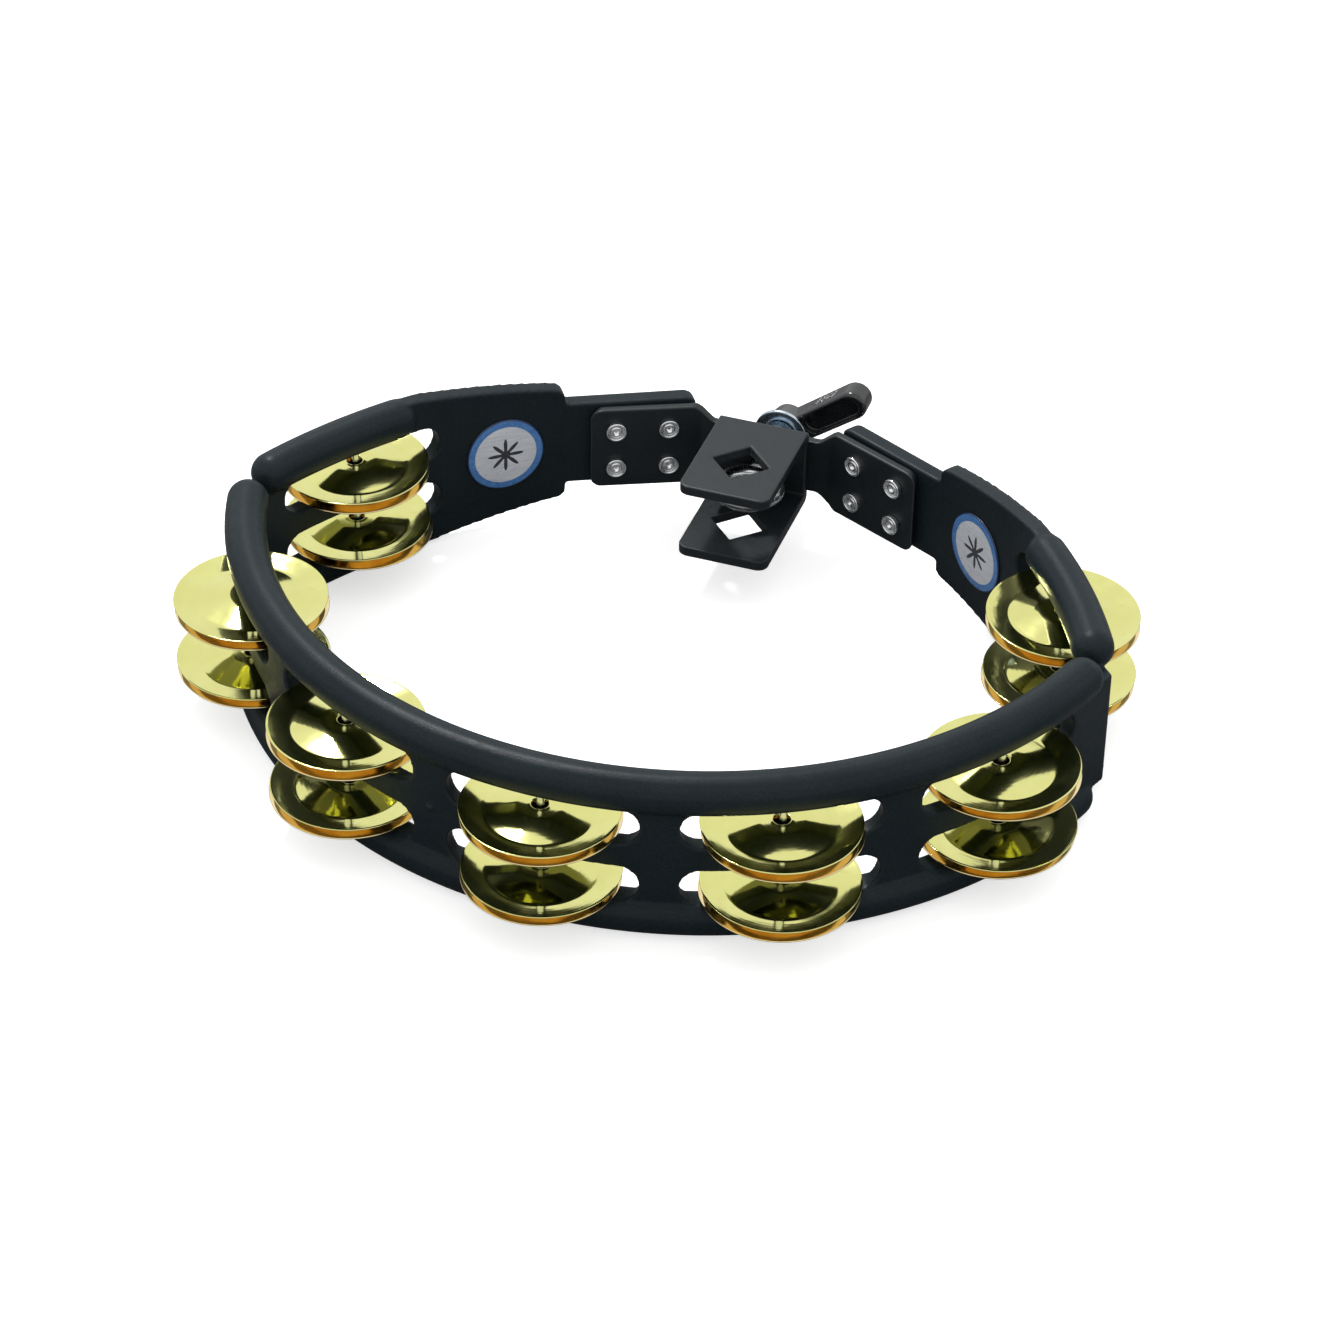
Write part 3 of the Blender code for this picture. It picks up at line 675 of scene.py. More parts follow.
def gloss_plastic():
    """Glossy black moulding with soft dust, faint flow marks, and edges made lighter by a painted highlight.
    """
    look = Shader("gloss_plastic")
    tone = look.clouds(120.0, 4.0, (0.30, (0.0045, 0.0055, 0.0062)), (0.75, (0.0080, 0.0095, 0.0102)))
    # painted highlight: convex edges are lightened in the base colour
    edge_highlight = look.map(look.pointiness(), ((0.512, 0.0), (0.585, 0.50)))
    look.feed("Base Color", look.mix(edge_highlight, tone, (0.055, 0.060, 0.062)))
    look.feed("Roughness", look.clouds(260.0, 5.0, (0.25, 0.18), (0.80, 0.34)))
    look.bump((look.noise(700.0, 3.0), 0.06, 0.00020))
    return look.set(Specular_IOR_Level=0.6, Coat_Weight=0.25, Coat_Roughness=0.15).material


def printed_badge():
    """A foil badge: a blue ring round a brushed silver field with a plain eight-rayed star."""
    look = Shader("printed_badge")
    split = look.tree.nodes.new("ShaderNodeSeparateXYZ")
    look.tree.links.new(look.place, split.inputs[0])
    across, up = split.outputs[0], split.outputs[1]
    squares = [look.math("MULTIPLY", side, side) for side in (across, up)]
    radius = look.math("SQRT", look.math("ADD", *squares))
    share = look.math("DIVIDE", radius, BADGE_RADIUS)
    angle = look.math("ARCTAN2", up, across)
    ray = look.math("ABSOLUTE", look.math("COSINE", look.math("MULTIPLY", angle, 4.0)))
    reach = look.math("ADD", look.math("MULTIPLY", look.math("POWER", ray, 3.0), 0.34), 0.12)
    star = look.math("LESS_THAN", share, reach)
    streaks = look.noise(1400.0, 3.0, stretch=(0.10, 1.0, 1.0))
    brushed = look.map(streaks, ((0.30, (0.60, 0.63, 0.68)), (0.72, (0.78, 0.80, 0.84))))
    field = look.mix(star, brushed, (0.030, 0.034, 0.042))
    print_blue = look.clouds(900.0, 3.0, (0.30, (0.055, 0.180, 0.480)), (0.75, (0.095, 0.270, 0.600)))
    ringed = look.mix(look.math("GREATER_THAN", share, 0.80), field, print_blue)
    look.feed("Base Color", look.mix(look.math("GREATER_THAN", share, 0.965), ringed, (0.012, 0.030, 0.090)))
    look.feed("Roughness", look.clouds(300.0, 4.0, (0.30, 0.24), (0.75, 0.40)))
    look.bump((look.noise(1400.0, 2.0), 0.05, 0.00010))
    return look.set(Metallic=0.15, Coat_Weight=0.4, Coat_Roughness=0.12).material


LOOKS = {
    "moulded_plastic": moulded_plastic(),
    "polished_brass": polished_brass(),
    "bright_steel": bright_steel(),
    "powder_coated_steel": powder_coated_steel(),
    "zinc_plate": zinc_plate(),
    "gloss_plastic": gloss_plastic(),
    "printed_badge": printed_badge(),
}


# ---------------------------------------------------------------- hoop frame
def rims():
    """Round bars along the top and bottom edges of the hoop and of both arms."""
    reach = math.degrees((RIM_BAR_RADIUS + HOOP_RIM_SETBACK) / RIM_RADIUS)
    front = hoop_path(RIM_RADIUS, HOOP_END_DEG - reach)
    inset = math.degrees((RIM_BAR_RADIUS + ARM_RIM_SETBACK) / ARM_RADIUS)
    left = arm_path(ARM_START_DEG - inset, ARM_RIM_END_DEG, ARM_STEPS // 2)
    made = []
    for path in (front, left, flip_x(left)):
        for z in (RIM_Z, -RIM_Z):
            made.append(rounded_rod("rim", [p.to_3d() + Vector((0, 0, z)) for p in path], RIM_BAR_RADIUS, 7))
    return joined("rims", made)


def mirrored_tools(make):
    """The same cut at all four corners: left and right, top and bottom."""
    tools = []
    for side in (1.0, -1.0):
        for level in (1.0, -1.0):
            tool = make()
            tool.data.transform(Matrix.Diagonal((side, 1.0, level, 1.0)))
            if side * level < 0:
                tool.data.flip_normals()
            tools.append(tool)
    return joined("tools", tools)


def side_profile_tool():
    """What is cut away above an arm's taper and tongue."""
    kink = on_circle(ARM_CENTRE, ARM_RADIUS, ARM_KINK_DEG)
    arm_tip, tongue_tip = tongue_path()
    chord = (tongue_tip - kink).normalized()
    arm_run = (arm_tip - kink).dot(chord)
    full_run = (tongue_tip - kink).dot(chord)
    high = ARM_HALF_HEIGHT + LONG_PAST
    far = full_run + LONG_PAST
    shoulder = arc_points((arm_run - CORNER, ARM_TIP_HALF_HEIGHT - CORNER), CORNER, 80, 0, 10)
    tip = arc_points((full_run - CORNER, TONGUE_HALF_HEIGHT - CORNER), CORNER, 90, 0, 10)
    outline = [Vector((0.0, ARM_HALF_HEIGHT))] + shoulder
    outline += [Vector((arm_run, TONGUE_HALF_HEIGHT))] + tip
    outline += [Vector((far, tip[-1].y)), Vector((far, high)), Vector((0.0, high))]
    half_depth = 0.022
    return prism("taper", outline, half_depth, basis(kink.to_3d(), chord.to_3d(), (0, 0, 1)))


def neck_tool():
    """What is cut away above the plain wall between a hoop rim's end and an arm rim's start."""
    corner = hoop_path(WALL_RADIUS, HOOP_END_DEG)[0]
    half = NECK_HALF_LENGTH
    high, half_depth = 0.03, 0.012
    outline = [(-half, NECK_HALF_HEIGHT), (half, NECK_HALF_HEIGHT), (half, high), (-half, high)]
    return prism("neck", outline, half_depth, basis(corner.to_3d(), (0, 1, 0), (0, 0, 1)))


def slot_tools():
    """Two round-ended slots at each station."""
    straight = SLOT_LENGTH / 2 - SLOT_HEIGHT / 2
    right = arc_points((straight, 0.0), SLOT_HEIGHT / 2, -90, 90, 20)
    outline = right + [Vector((-p.x, -p.y)) for p in right]
    made = []
    for pin, along in stations():
        for z in (SLOT_Z, -SLOT_Z):
            spot = basis((pin.x, pin.y, z), along.to_3d(), (0, 0, 1))
            made.append(prism("slot", outline, LONG_PAST, spot))
    return joined("slots", made)


def build_frame():
    """The one moulding: wall, necks, rims, tongues, slots and a small gate pip at the front."""
    wall = prism("wall", ribbon(wall_path(), WALL_THICK / 2, -WALL_THICK / 2), ARM_HALF_HEIGHT)
    wall = combine(wall, [mirrored_tools(side_profile_tool), mirrored_tools(neck_tool)], "DIFFERENCE")
    bpy.ops.mesh.primitive_uv_sphere_add(segments=24, ring_count=12, radius=GATE_RADIUS)
    gate = bpy.context.active_object
    gate_spot = on_circle((0, 0), WALL_RADIUS + WALL_THICK / 2, GATE_DEG)
    gate.data.transform(Matrix.Translation(gate_spot.to_3d()))
    wall = combine(wall, [rims(), gate], "UNION")
    wall = combine(wall, [slot_tools()], "DIFFERENCE")
    wall = softened(wall, *FRAME_SOFTNESS)
    wall.location = SHIFT
    finish_piece(wall, "moulded_frame", "frame", "moulded_plastic", "hoop_frame")


def build_pins():
    """A wire with domed ends at each station, fitted to the height of its CAD node."""
    pieces = 6
    for number in range(1, len(stations()) + 1):
        low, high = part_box(f"jingle_pin_{number}")
        height = high.z - low.z
        rises = [i * (height - PIN_RADIUS) / pieces for i in range(pieces + 1)]
        path = [Vector((0, 0, low.z + PIN_RADIUS / 2 + rise)) for rise in rises]
        rod = rounded_rod("pin", path, PIN_RADIUS * 0.98, 5)
        rod.data.transform(Matrix.Scale(height / (height + PIN_RADIUS), 4, (0, 0, 1)))
        rod.location = ((low.x + high.x) / 2, (low.y + high.y) / 2, 0.0)
        node = f"jingle_pin_{number}"
        finish_piece(rod, f"pin_wire_{number}", "frame", "bright_steel", node)


# ---------------------------------------------------------------- jingles
def sheet_height(radius):
    """Height of an upper disc's top: a flat boss, a cone down to the valley, a cone up to the rim."""
    inner_slope = (BOSS_HEIGHT + VALLEY_DEPTH) / (VALLEY_RADIUS - BOSS_RADIUS)
    outer_slope = VALLEY_DEPTH / (DISC_RADIUS - VALLEY_RADIUS)
    falling = BOSS_HEIGHT - inner_slope * max(0.0, radius - BOSS_RADIUS)
    rising = -VALLEY_DEPTH + outer_slope * (radius - VALLEY_RADIUS)
    return max(falling, rising)


def soft_height(radius, reach=0.0004):
    """The same height averaged over a short reach, so that the creases are pressed and not sharp."""
    taps = 9
    return sum(sheet_height(radius + reach * (2 * i / (taps - 1) - 1)) for i in range(taps)) / taps


def disc_profile():
    """Section of the sheet, with a rolled bead at its hole and a round edge at its rim."""
    steps = 44
    run = DISC_RADIUS - DISC_RIM_INSET - DISC_HOLE
    radii = [DISC_HOLE + run * i / steps for i in range(steps + 1)]
    top = [(r, soft_height(r)) for r in radii]
    bottom = [(r, soft_height(r) - DISC_SHEET) for r in reversed(radii)]
    rim = arc_points((radii[-1], top[-1][1] - DISC_SHEET / 2), DISC_SHEET / 2, 60, -60, 4)
    bead = arc_points((DISC_HOLE + HOLE_BEAD, BOSS_HEIGHT - DISC_SHEET / 2), HOLE_BEAD, 230, 60, 8)
    return [(p.x, p.y) for p in bead] + top[2:] + [(p.x, p.y) for p in rim] + bottom[:-2]


def mark_inner_face(mesh):
    """Mark the face that a disc turns to its partner, which gets a painted coppery reflection, in a point
    attribute.
    """
    mark = mesh.attributes.new("inner", "FLOAT", "POINT")
    for vertex, value in zip(mesh.vertices, mark.data):
        radius = math.hypot(vertex.co.x, vertex.co.y)
        depth = soft_height(radius) - vertex.co.z
        value.value = min(1.0, max(0.0, depth / DISC_SHEET * 1.6 - 0.3))


def dented(mesh, seed):
    """Gentle waves that break up the mirror a little, different on each disc."""
    offset = Vector((seed * 0.37, seed * 0.71, seed * 0.13))
    for vertex in mesh.vertices:
        plan = Vector((vertex.co.x, vertex.co.y, 0.0))
        vertex.co.z += sum(noise.noise(plan * scale + offset) * height for scale, height in DISC_WAVES)
    return mesh


def disc_slide(node, seed, along):
    """How far a disc hangs off its pin in plan, towards the hoop's middle and along the wall."""
    inwards = Vector((-along.y, along.x))
    slide = inwards * (SLIDE_INWARDS + SLIDE_SWING * math.sin(seed * 2.4))
    slide += along * SLIDE_ALONG * math.cos(seed * 1.7)
    return slide + Vector(SHIFTED_DISCS.get(node, (0.0, 0.0)))


def disc_turn(rank, seed):
    """A small lean, the lower disc's roll onto its back, and a spin, different on each disc."""
    lean = Matrix.Rotation(math.radians(DISC_LEAN_DEG * math.sin(seed * 3.1)), 4, "X")
    lean @= Matrix.Rotation(math.radians(DISC_LEAN_DEG * math.cos(seed * 4.3)), 4, "Y")
    roll = Matrix.Rotation(0.0 if rank == "upper" else math.pi, 4, "X")
    return lean @ roll @ Matrix.Rotation(seed * 1.9, 4, "Z")


def build_jingles():
    """A pair of discs, back to back, in each slot."""
    pattern = turned("disc", disc_profile(), 128, True)
    mark_inner_face(pattern.data)
    places = [(number, *station) for number, station in enumerate(stations(), 1)]
    ranks = [(slot, rank) for slot in ("top", "bottom") for rank in ("upper", "lower")]
    seed = 0
    for number, pin, along in places:
        for slot, rank in ranks:
            seed += 1
            node = f"jingle_{number}_{slot}_{rank}"
            low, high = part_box(node)
            rim_z = high.z - BOSS_HEIGHT if rank == "upper" else low.z + BOSS_HEIGHT
            slide = disc_slide(node, seed, along)
            mesh = dented(pattern.data.copy(), seed)
            mesh.transform(disc_turn(rank, seed))
            disc = link(node, mesh)
            disc.location = (pin.x + slide.x, pin.y + slide.y + HOOP_Y, rim_z)
            finish_piece(disc, f"disc_{number}_{slot}_{rank}", node, "polished_brass", node)
    discard(pattern)


# ---------------------------------------------------------------- bracket and rivets
def strap_outline():
    """The strap from the front: narrow between the legs, with rounded outer corners."""
    middle_x, outer_x = -leg_point(LEG_LENGTH).x, -leg_point(0.0).x
    corner = arc_points((outer_x - CORNER, LEG_HALF_HEIGHT - CORNER), CORNER, 90, 0, 10)
    rise = [Vector((0.0, STRAP_HALF_HEIGHT)), Vector((middle_x - STRAP_WAIST_INSET, STRAP_HALF_HEIGHT))]
    rise += [Vector((middle_x + STRAP_WAIST_STEP, LEG_HALF_HEIGHT)), corner[0]]
    quarter = filleted(rise, STRAP_WAIST_BEND)[:-1] + corner
    upper = flip_x(quarter)[:-1] + quarter
    return upper + [Vector((p.x, -p.y)) for p in reversed(upper)]


def build_bracket():
    """The bent strap: its plan thickened upwards, then cut to its front outline and drilled."""
    bend = Vector((leg_point(LEG_LENGTH).x + CORNER / 2, STRAP_Y))
    left = [leg_point(0.0), bend]
    plan = filleted(left + flip_x(left), STRAP_BEND)
    strap = prism("strap", ribbon(plan, STRAP_THICK, 0.0), LEG_HALF_HEIGHT + SHORT_PAST)
    half_depth = 0.05
    front_view = basis((0, STRAP_Y, STRAP_Z), (1, 0, 0), (0, 0, 1))
    strap = combine(strap, [prism("front", strap_outline(), half_depth, front_view)], "INTERSECT")
    ends = [(0, STRAP_Y - LONG_PAST, BOLT_Z), (0, STRAP_Y + LONG_PAST, BOLT_Z)]
    strap = combine(strap, [cylinder("hole", BOLT_HOLE_RADIUS, *ends)], "DIFFERENCE")
    strap = softened(strap, *STEEL_SOFTNESS)
    strap.location = SHIFT
    finish_piece(strap, "riveted_strap", "frame", "powder_coated_steel", "mounting_bracket")


def rivet_profile():
    """Section of a tubular rivet: a rolled rim, a groove and a cupped middle, and a flared tail."""
    seat, grip = GAP, STRAP_THICK + GAP + WALL_THICK + GAP
    top = seat + RIVET_HEAD_HEIGHT
    bottom = -grip - RIVET_TAIL_HEIGHT
    groove_x = RIVET_HEAD - 2 * RIVET_ROLL - RIVET_GROOVE
    low = top - RIVET_GROOVE_DEPTH
    crown = arc_points((RIVET_HEAD - RIVET_ROLL, top - RIVET_ROLL), RIVET_ROLL, 0, 180, 10)
    groove = arc_points((groove_x, low), RIVET_GROOVE, 0, -180, 8)
    cup = arc_points((RIVET_CUP_X, low), RIVET_CUP, 30, 150, 10)
    head = [(RIVET_SHANK, seat), (RIVET_HEAD, seat)] + [(p.x, p.y) for p in crown + groove + cup]
    head += [(RIVET_CORE, top - RIVET_CORE_DEPTH), (0.0, top - RIVET_CORE_DEPTH)]
    tail = arc_points((RIVET_TAIL - RIVET_TAIL_EDGE, bottom + RIVET_TAIL_EDGE), RIVET_TAIL_EDGE, 0, -90, 4)
    foot = [(0.0, bottom)] + [(p.x, p.y) for p in reversed(tail)]
    return (foot + [(RIVET_TAIL, -grip), (RIVET_SHANK, -grip)] + head)[::-1]


def build_rivets():
    for number, (centre, inwards) in enumerate(rivet_places(), 1):
        rivet = turned("rivet", rivet_profile(), 48)
        turn = inwards.to_track_quat("Z", "Y").to_matrix().to_4x4()
        spin = Matrix.Rotation(number * 0.9, 4, "Z")
        rivet.matrix_world = Matrix.Translation(centre + SHIFT) @ turn @ spin
        node = f"rivet_{number}"
        finish_piece(rivet, f"tubular_{node}", "frame", "bright_steel", node)


# ---------------------------------------------------------------- rod clamp
def channel_section():
    """The channel from the side, in Y and Z: two plates joined by a bent back."""
    front, back = CHANNEL_FRONT_Y - SHORT_PAST, CHANNEL_BACK_Y
    high, bend, inner = CHANNEL_HALF_HEIGHT, CHANNEL_BEND, CHANNEL_INNER_BEND
    outside = [Vector((front, high))] + arc_points((back - bend, high - bend), bend, 90, 0, 10)
    turn_y, turn_z = back - CHANNEL_THICK - inner, high - CHANNEL_THICK - inner
    inside = arc_points((turn_y, turn_z), inner, 0, 90, 6) + [Vector((front, high - CHANNEL_THICK))]
    lower_outside = [Vector((p.x, -p.y)) for p in reversed(outside)]
    lower_inside = [Vector((p.x, -p.y)) for p in reversed(inside)]
    return outside + lower_outside + lower_inside + inside


def build_channel():
    """The bent strip, cut to its rounded plan, with its square holes and the bolt's hole."""
    across = basis((0, 0, CHANNEL_Z), (0, 1, 0), (0, 0, 1))
    channel = prism("channel", channel_section(), CHANNEL_HALF_WIDTH + SHORT_PAST, across)
    half, nose, back, half_depth = CHANNEL_HALF_WIDTH, CHANNEL_FRONT_Y, CHANNEL_BACK_Y, 0.02
    blank = arc_points((half - CORNER, nose + CORNER), CORNER, -90, 0, 12)
    blank.append(Vector((half, back + SHORT_PAST)))
    blank += flip_x(blank)
    channel = combine(channel, [prism("blank", blank, half_depth)], "INTERSECT")
    diamond = [(DIAMOND_HALF_X, 0), (0, DIAMOND_HALF_Y), (-DIAMOND_HALF_X, 0), (0, -DIAMOND_HALF_Y)]
    hole = prism("diamond", diamond, half_depth, Matrix.Translation((0, ROD_Y, 0)))
    ends = [(0, back - LONG_PAST, BOLT_Z), (0, back + LONG_PAST, BOLT_Z)]
    channel = combine(channel, [hole, cylinder("hole", BOLT_HOLE_RADIUS, *ends)], "DIFFERENCE")
    channel = softened(channel, *STEEL_SOFTNESS)
    channel.location = SHIFT
    finish_piece(channel, "clamp_plates", "clamp_channel", "powder_coated_steel", "clamp_channel")


def build_eye_bolt():
    """A forged ring with a shank, ridged at the thread's pitch."""
    start = EYE_Y + EYE_RADIUS
    length = BOLT_BACK_Y - HOOP_Y - start
    thread_root = BOLT_RADIUS - THREAD_DEPTH
    count = int((length - PLAIN_SHANK - THREAD_PITCH) / THREAD_PITCH)
    section = [(0.0, length), (thread_root, length)]
    for i in range(count):
        crest = length - THREAD_PITCH * (i + 0.5)
        section += [(BOLT_RADIUS, crest + THREAD_CREST), (BOLT_RADIUS, crest - THREAD_CREST)]
        section.append((thread_root, crest - THREAD_PITCH / 2))
    section += [(BOLT_RADIUS, PLAIN_SHANK), (BOLT_RADIUS, 0.0), (0.0, 0.0)]
    shank = turned("shank", section, 64)
    shank.data.transform(basis((0, start, 0), (1, 0, 0), (0, 0, -1)))
    bpy.ops.mesh.primitive_torus_add(
        location=(0, 0, 0),
        major_segments=96,
        minor_segments=32,
        major_radius=EYE_RADIUS,
        minor_radius=EYE_BAR_RADIUS,
    )
    ring = bpy.context.active_object
    ring.data.transform(Matrix.Translation((0, EYE_Y, 0)))
    shank = combine(shank, [ring], "UNION")
    shank.location = SHIFT + Vector((0, 0, BOLT_Z))
    finish_piece(shank, "forged_eye_bolt", "eye_bolt", "bright_steel", "eye_bolt")


def ring_profile(bore, outer, thick, edge):
    """Section of a ring from height 0 to its thickness, with broken edges."""
    return [
        (bore, thick - edge), (bore + edge, thick), (outer - edge, thick), (outer, thick - edge),
        (outer, edge), (outer - edge, 0.0), (bore + edge, 0.0), (bore, edge),
    ]


def build_rings():
    """The washer and the spacer, which turn as one body."""
    edge = 0.00025
    for node, name, (low, high) in (
        ("washer", "plated_washer", (WASHER_LOW, WASHER_HIGH)),
        ("spacer", "plated_spacer", (SPACER_LOW, SPACER_HIGH)),
    ):
        outer, thick = (high.x - low.x) / 2, high.y - low.y
        ring = turned(name, ring_profile(BOLT_RADIUS + GAP, outer, thick, edge), 96, True)
        ring.matrix_world = basis((0, low.y, BOLT_Z), (1, 0, 0), (0, 0, -1))
        finish_piece(ring, name, "washer", "zinc_plate", node)


def hull(name, objects):
    """The tight skin round several solids."""
    shape = bmesh.new()
    for obj in objects:
        for vertex in obj.data.vertices:
            shape.verts.new(vertex.co)
    skin = bmesh.ops.convex_hull(shape, input=shape.verts)
    inside = {v for v in skin["geom_interior"] + skin["geom_unused"] if isinstance(v, bmesh.types.BMVert)}
    bmesh.ops.delete(shape, geom=list(inside), context="VERTS")
    bmesh.ops.recalc_face_normals(shape, faces=shape.faces)
    mesh = bpy.data.meshes.new(name)
    shape.to_mesh(mesh)
    shape.free()
    discard(*objects)
    return link(name, mesh)


def drum(radius, x, front, back, edge):
    """A short cylinder along local Y with rounded edges."""
    half = (back - front) / 2
    upper = arc_points((radius - edge, half - edge), edge, 0, 90, 6)
    lower = arc_points((radius - edge, edge - half), edge, -90, 0, 6)
    section = [(0.0, -half)] + [(p.x, p.y) for p in lower + upper] + [(0.0, half)]
    obj = turned("drum", section, 40)
    obj.data.transform(basis((x, (front + back) / 2, 0), (1, 0, 0), (0, 0, -1)))
    return obj


def wing_bars(front, length, tip, tip_x):
    """Four plain slanted bars that stand out of a wing's two flat sides."""
    bars = []
    for step in range(4):
        x = BAR_FIRST + step * BAR_PITCH
        swell = (tip - WING_ROOT) * (x - WING_ROOT_X) / (tip_x - WING_ROOT_X)
        near, far = front + BAR_FRONT_INSET, length - BAR_BACK_INSET
        outline = [(x, near), (x + BAR_WIDTH, near)]
        outline += [(x + BAR_WIDTH + BAR_SLANT, far), (x + BAR_SLANT, far)]
        bars.append(prism("bar", outline, WING_ROOT + swell + BAR_HEIGHT))
    return bars


def wing_pockets(front, length, tip, tip_x):
    """The hollows in a wing's front and back faces."""
    pockets = []
    spans = [(front - SHORT_PAST, front + POCKET_DEPTH), (length - POCKET_DEPTH, length + SHORT_PAST)]
    for start, end in spans:
        root_end = drum(WING_ROOT - POCKET_ROOT_WALL, POCKET_START_X, start, end, POCKET_EDGE)
        tip_end = drum(tip - POCKET_TIP_WALL, tip_x - POCKET_TIP_INSET, start, end, POCKET_EDGE)
        pockets.append(hull("pocket", [root_end, tip_end]))
    return pockets


def wing_solids(side, offset, length):
    """One wing that swells towards its tip, with its bars, and the pockets to cut from it."""
    tilt = Matrix.Rotation(math.radians(side - WING_TILT_DEG), 4, "Y") @ Matrix.Translation((0, 0, offset))
    tip = WING_HALF_THICK + WING_TIP_SWELL
    tip_x = WING_SPAN - tip
    front = length - WING_DEPTH
    tip_drum = drum(tip, tip_x, front, length, 0.0012)
    root_drum = drum(WING_ROOT, WING_ROOT_X, front, length, 0.0010)
    solids = [hull("wing", [tip_drum, root_drum])] + wing_bars(front, length, tip, tip_x)
    pockets = wing_pockets(front, length, tip, tip_x)
    for obj in solids + pockets:
        obj.data.transform(tilt)
    return solids, pockets


def build_wing_nut():
    """A tapered hub with two offset wings, drilled for the bolt."""
    front, length = NUT_LOW.y - HOOP_Y, NUT_HIGH.y - NUT_LOW.y
    hub_section = [(0.0, length), (NUT_BACK_RADIUS, length), (NUT_RADIUS, 0.0), (0.0, 0.0)]
    hub = turned("hub", hub_section, 64)
    hub.data.transform(basis((0, 0, 0), (1, 0, 0), (0, 0, -1)))
    pockets, solids = [], []
    for side, offset in ((0.0, -WING_OFFSET), (180.0, WING_OFFSET)):
        made, cuts = wing_solids(side, offset, length)
        solids += made
        pockets += cuts
    hub = combine(hub, solids, "UNION")
    bore = cylinder("bore", BOLT_RADIUS + GAP, (0, -LONG_PAST, 0), (0, length + LONG_PAST, 0))
    hub = combine(hub, pockets + [bore], "DIFFERENCE")
    hub = softened(hub, *NUT_SOFTNESS)
    hub.location = SHIFT + Vector((0, front, BOLT_Z))
    finish_piece(hub, "moulded_wing_nut", "wing_nut", "gloss_plastic", "wing_nut")


# ---------------------------------------------------------------- badges
def badge_profile():
    """Section of a badge: a low dome with a chamfered edge on a flat back."""
    steps = 14
    dome = []
    for i in range(steps):
        share = i / steps
        dome.append((BADGE_RADIUS * share, BADGE_THICK + BADGE_DOME * (1 - share ** 2)))
    edge = [(BADGE_RADIUS - BADGE_EDGE, BADGE_THICK), (BADGE_RADIUS, BADGE_THICK - BADGE_EDGE)]
    return dome + edge + [(BADGE_RADIUS, 0.0), (0.0, 0.0)]


def build_badges():
    """A thin domed disc on each arm, bent to the arm's inner face."""
    inner_radius = ARM_RADIUS - WALL_THICK / 2
    for node, side in (("badge_left", 1), ("badge_right", -1)):
        disc = turned(node, badge_profile(), 96)
        for vertex in disc.data.vertices:
            vertex.co.z += vertex.co.x ** 2 / (2 * inner_radius)
        face = on_circle(ARM_CENTRE, inner_radius - BADGE_LIFT, BADGE_DEG)
        inwards = (Vector(ARM_CENTRE) - face).normalized()
        normal = Vector((inwards.x * side, inwards.y, 0.0))
        along = Vector((0, 0, 1)).cross(normal)
        disc.matrix_world = basis(Vector((face.x * side, face.y, 0.0)) + SHIFT, along, (0, 0, 1))
        finish_piece(disc, f"printed_{node}", "frame", "printed_badge", node)


# ---------------------------------------------------------------- stage
def build_floor():
    """A wide pale floor that shows as white and throws back little light."""
    mesh = bpy.data.meshes.new("floor")
    shape = bmesh.new()
    bmesh.ops.create_grid(shape, x_segments=1, y_segments=1, size=6.0)
    shape.to_mesh(mesh)
    shape.free()
    floor = link("floor", mesh)
    floor.location.z = min(corner[2] for corner in CAD_BOX) - 0.0002
    look = Shader("pale_floor")
    look.set(Roughness=0.9, Specular_IOR_Level=0.1)
    seen = look.tree.nodes.new("ShaderNodeLightPath").outputs["Is Camera Ray"]
    pale = look.clouds(6.0, 2.0, (0.3, 0.78), (0.7, 0.82))
    look.feed("Base Color", look.mix(seen, (0.20, 0.20, 0.21), pale))
    look.set(Emission_Color=(1.0, 1.0, 1.0, 1.0))
    look.feed("Emission Strength", look.math("MULTIPLY", seen, 0.60))
    floor.data.materials.append(look.material)


def build_world():
    """A white dome that is brightest overhead."""
    world = bpy.data.worlds.new("studio")
    bpy.context.scene.world = world
    world.use_nodes = True
    tree = world.node_tree
    place = tree.nodes.new("ShaderNodeTexCoord").outputs["Generated"]
    split = tree.nodes.new("ShaderNodeSeparateXYZ")
    tree.links.new(place, split.inputs[0])
    ramp = tree.nodes.new("ShaderNodeValToRGB")
    ramp.color_ramp.elements[0].position = 0.0
    ramp.color_ramp.elements[0].color = (0.80, 0.82, 0.84, 1.0)
    ramp.color_ramp.elements[1].position = 0.25
    ramp.color_ramp.elements[1].color = (1.0, 1.0, 1.0, 1.0)
    tree.links.new(split.outputs[2], ramp.inputs["Fac"])
    background = tree.nodes["Background"]
    tree.links.new(ramp.outputs["Color"], background.inputs["Color"])
    background.inputs["Strength"].default_value = 1.0


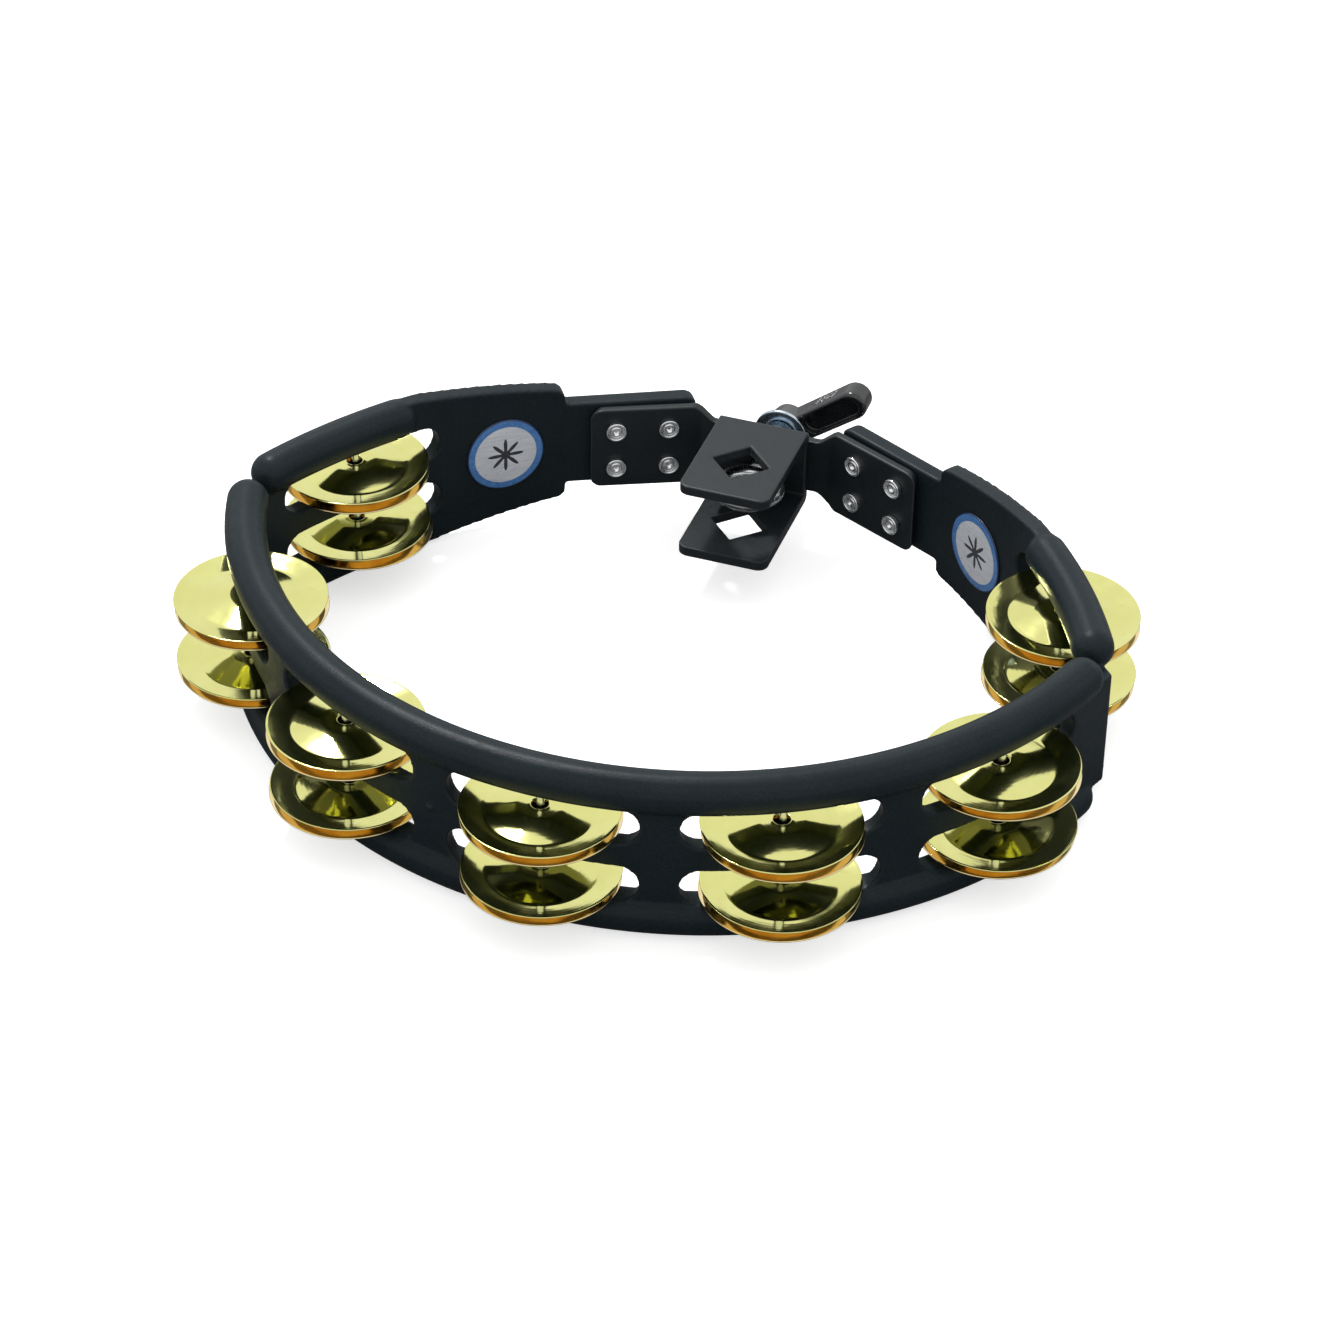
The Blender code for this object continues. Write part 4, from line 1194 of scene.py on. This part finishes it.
def area_light(name, spot, aim, size, power):
    data = bpy.data.lights.new(name, "AREA")
    data.size = size
    data.energy = power
    lamp = bpy.data.objects.new(name, data)
    bpy.context.scene.collection.objects.link(lamp)
    lamp.location = spot
    lamp.rotation_euler = (Vector(aim) - Vector(spot)).to_track_quat("-Z", "Y").to_euler()


# the camera's direction, distance, target, lens and off-centre axis
VIEW_AZIMUTH = math.radians(18.57)
VIEW_ELEVATION = math.radians(35.87)
VIEW_ROLL = math.radians(0.992)
VIEW_DISTANCE = 1.1912
VIEW_TARGET = Vector((-0.00774, -0.0054, -0.00366))
SENSOR = 36.0
LENS = 119.565
AXIS_SHIFT = (-0.0033, -0.0561)


KEY_SPOT = (-0.72, 0.80, 1.70)
KEY_SIZE = 0.26
KEY_POWER = 26.0


def build_camera():
    data = bpy.data.cameras.new("camera")
    data.sensor_width = SENSOR
    data.lens = LENS
    data.shift_x, data.shift_y = AXIS_SHIFT
    data.clip_start, data.clip_end = 0.01, 50.0
    camera = bpy.data.objects.new("camera", data)
    bpy.context.scene.collection.objects.link(camera)
    flat = math.cos(VIEW_ELEVATION)
    back = Vector((math.sin(VIEW_AZIMUTH) * flat, -math.cos(VIEW_AZIMUTH) * flat, math.sin(VIEW_ELEVATION)))
    level = Vector((math.cos(VIEW_AZIMUTH), math.sin(VIEW_AZIMUTH), 0.0))
    rise = back.cross(level)
    right = level * math.cos(VIEW_ROLL) + rise * math.sin(VIEW_ROLL)
    up = rise * math.cos(VIEW_ROLL) - level * math.sin(VIEW_ROLL)
    turn = Matrix((right, up, back)).transposed().to_4x4()
    camera.matrix_world = Matrix.Translation(VIEW_TARGET + SHIFT + back * VIEW_DISTANCE) @ turn
    bpy.context.scene.camera = camera


build_frame()
build_pins()
build_jingles()
build_bracket()
build_rivets()
build_channel()
build_eye_bolt()
build_rings()
build_wing_nut()
build_badges()
build_floor()
build_world()
area_light("key", KEY_SPOT, (0, 0, 0), KEY_SIZE, KEY_POWER)
build_camera()
bpy.context.scene.view_settings.view_transform = "Standard"
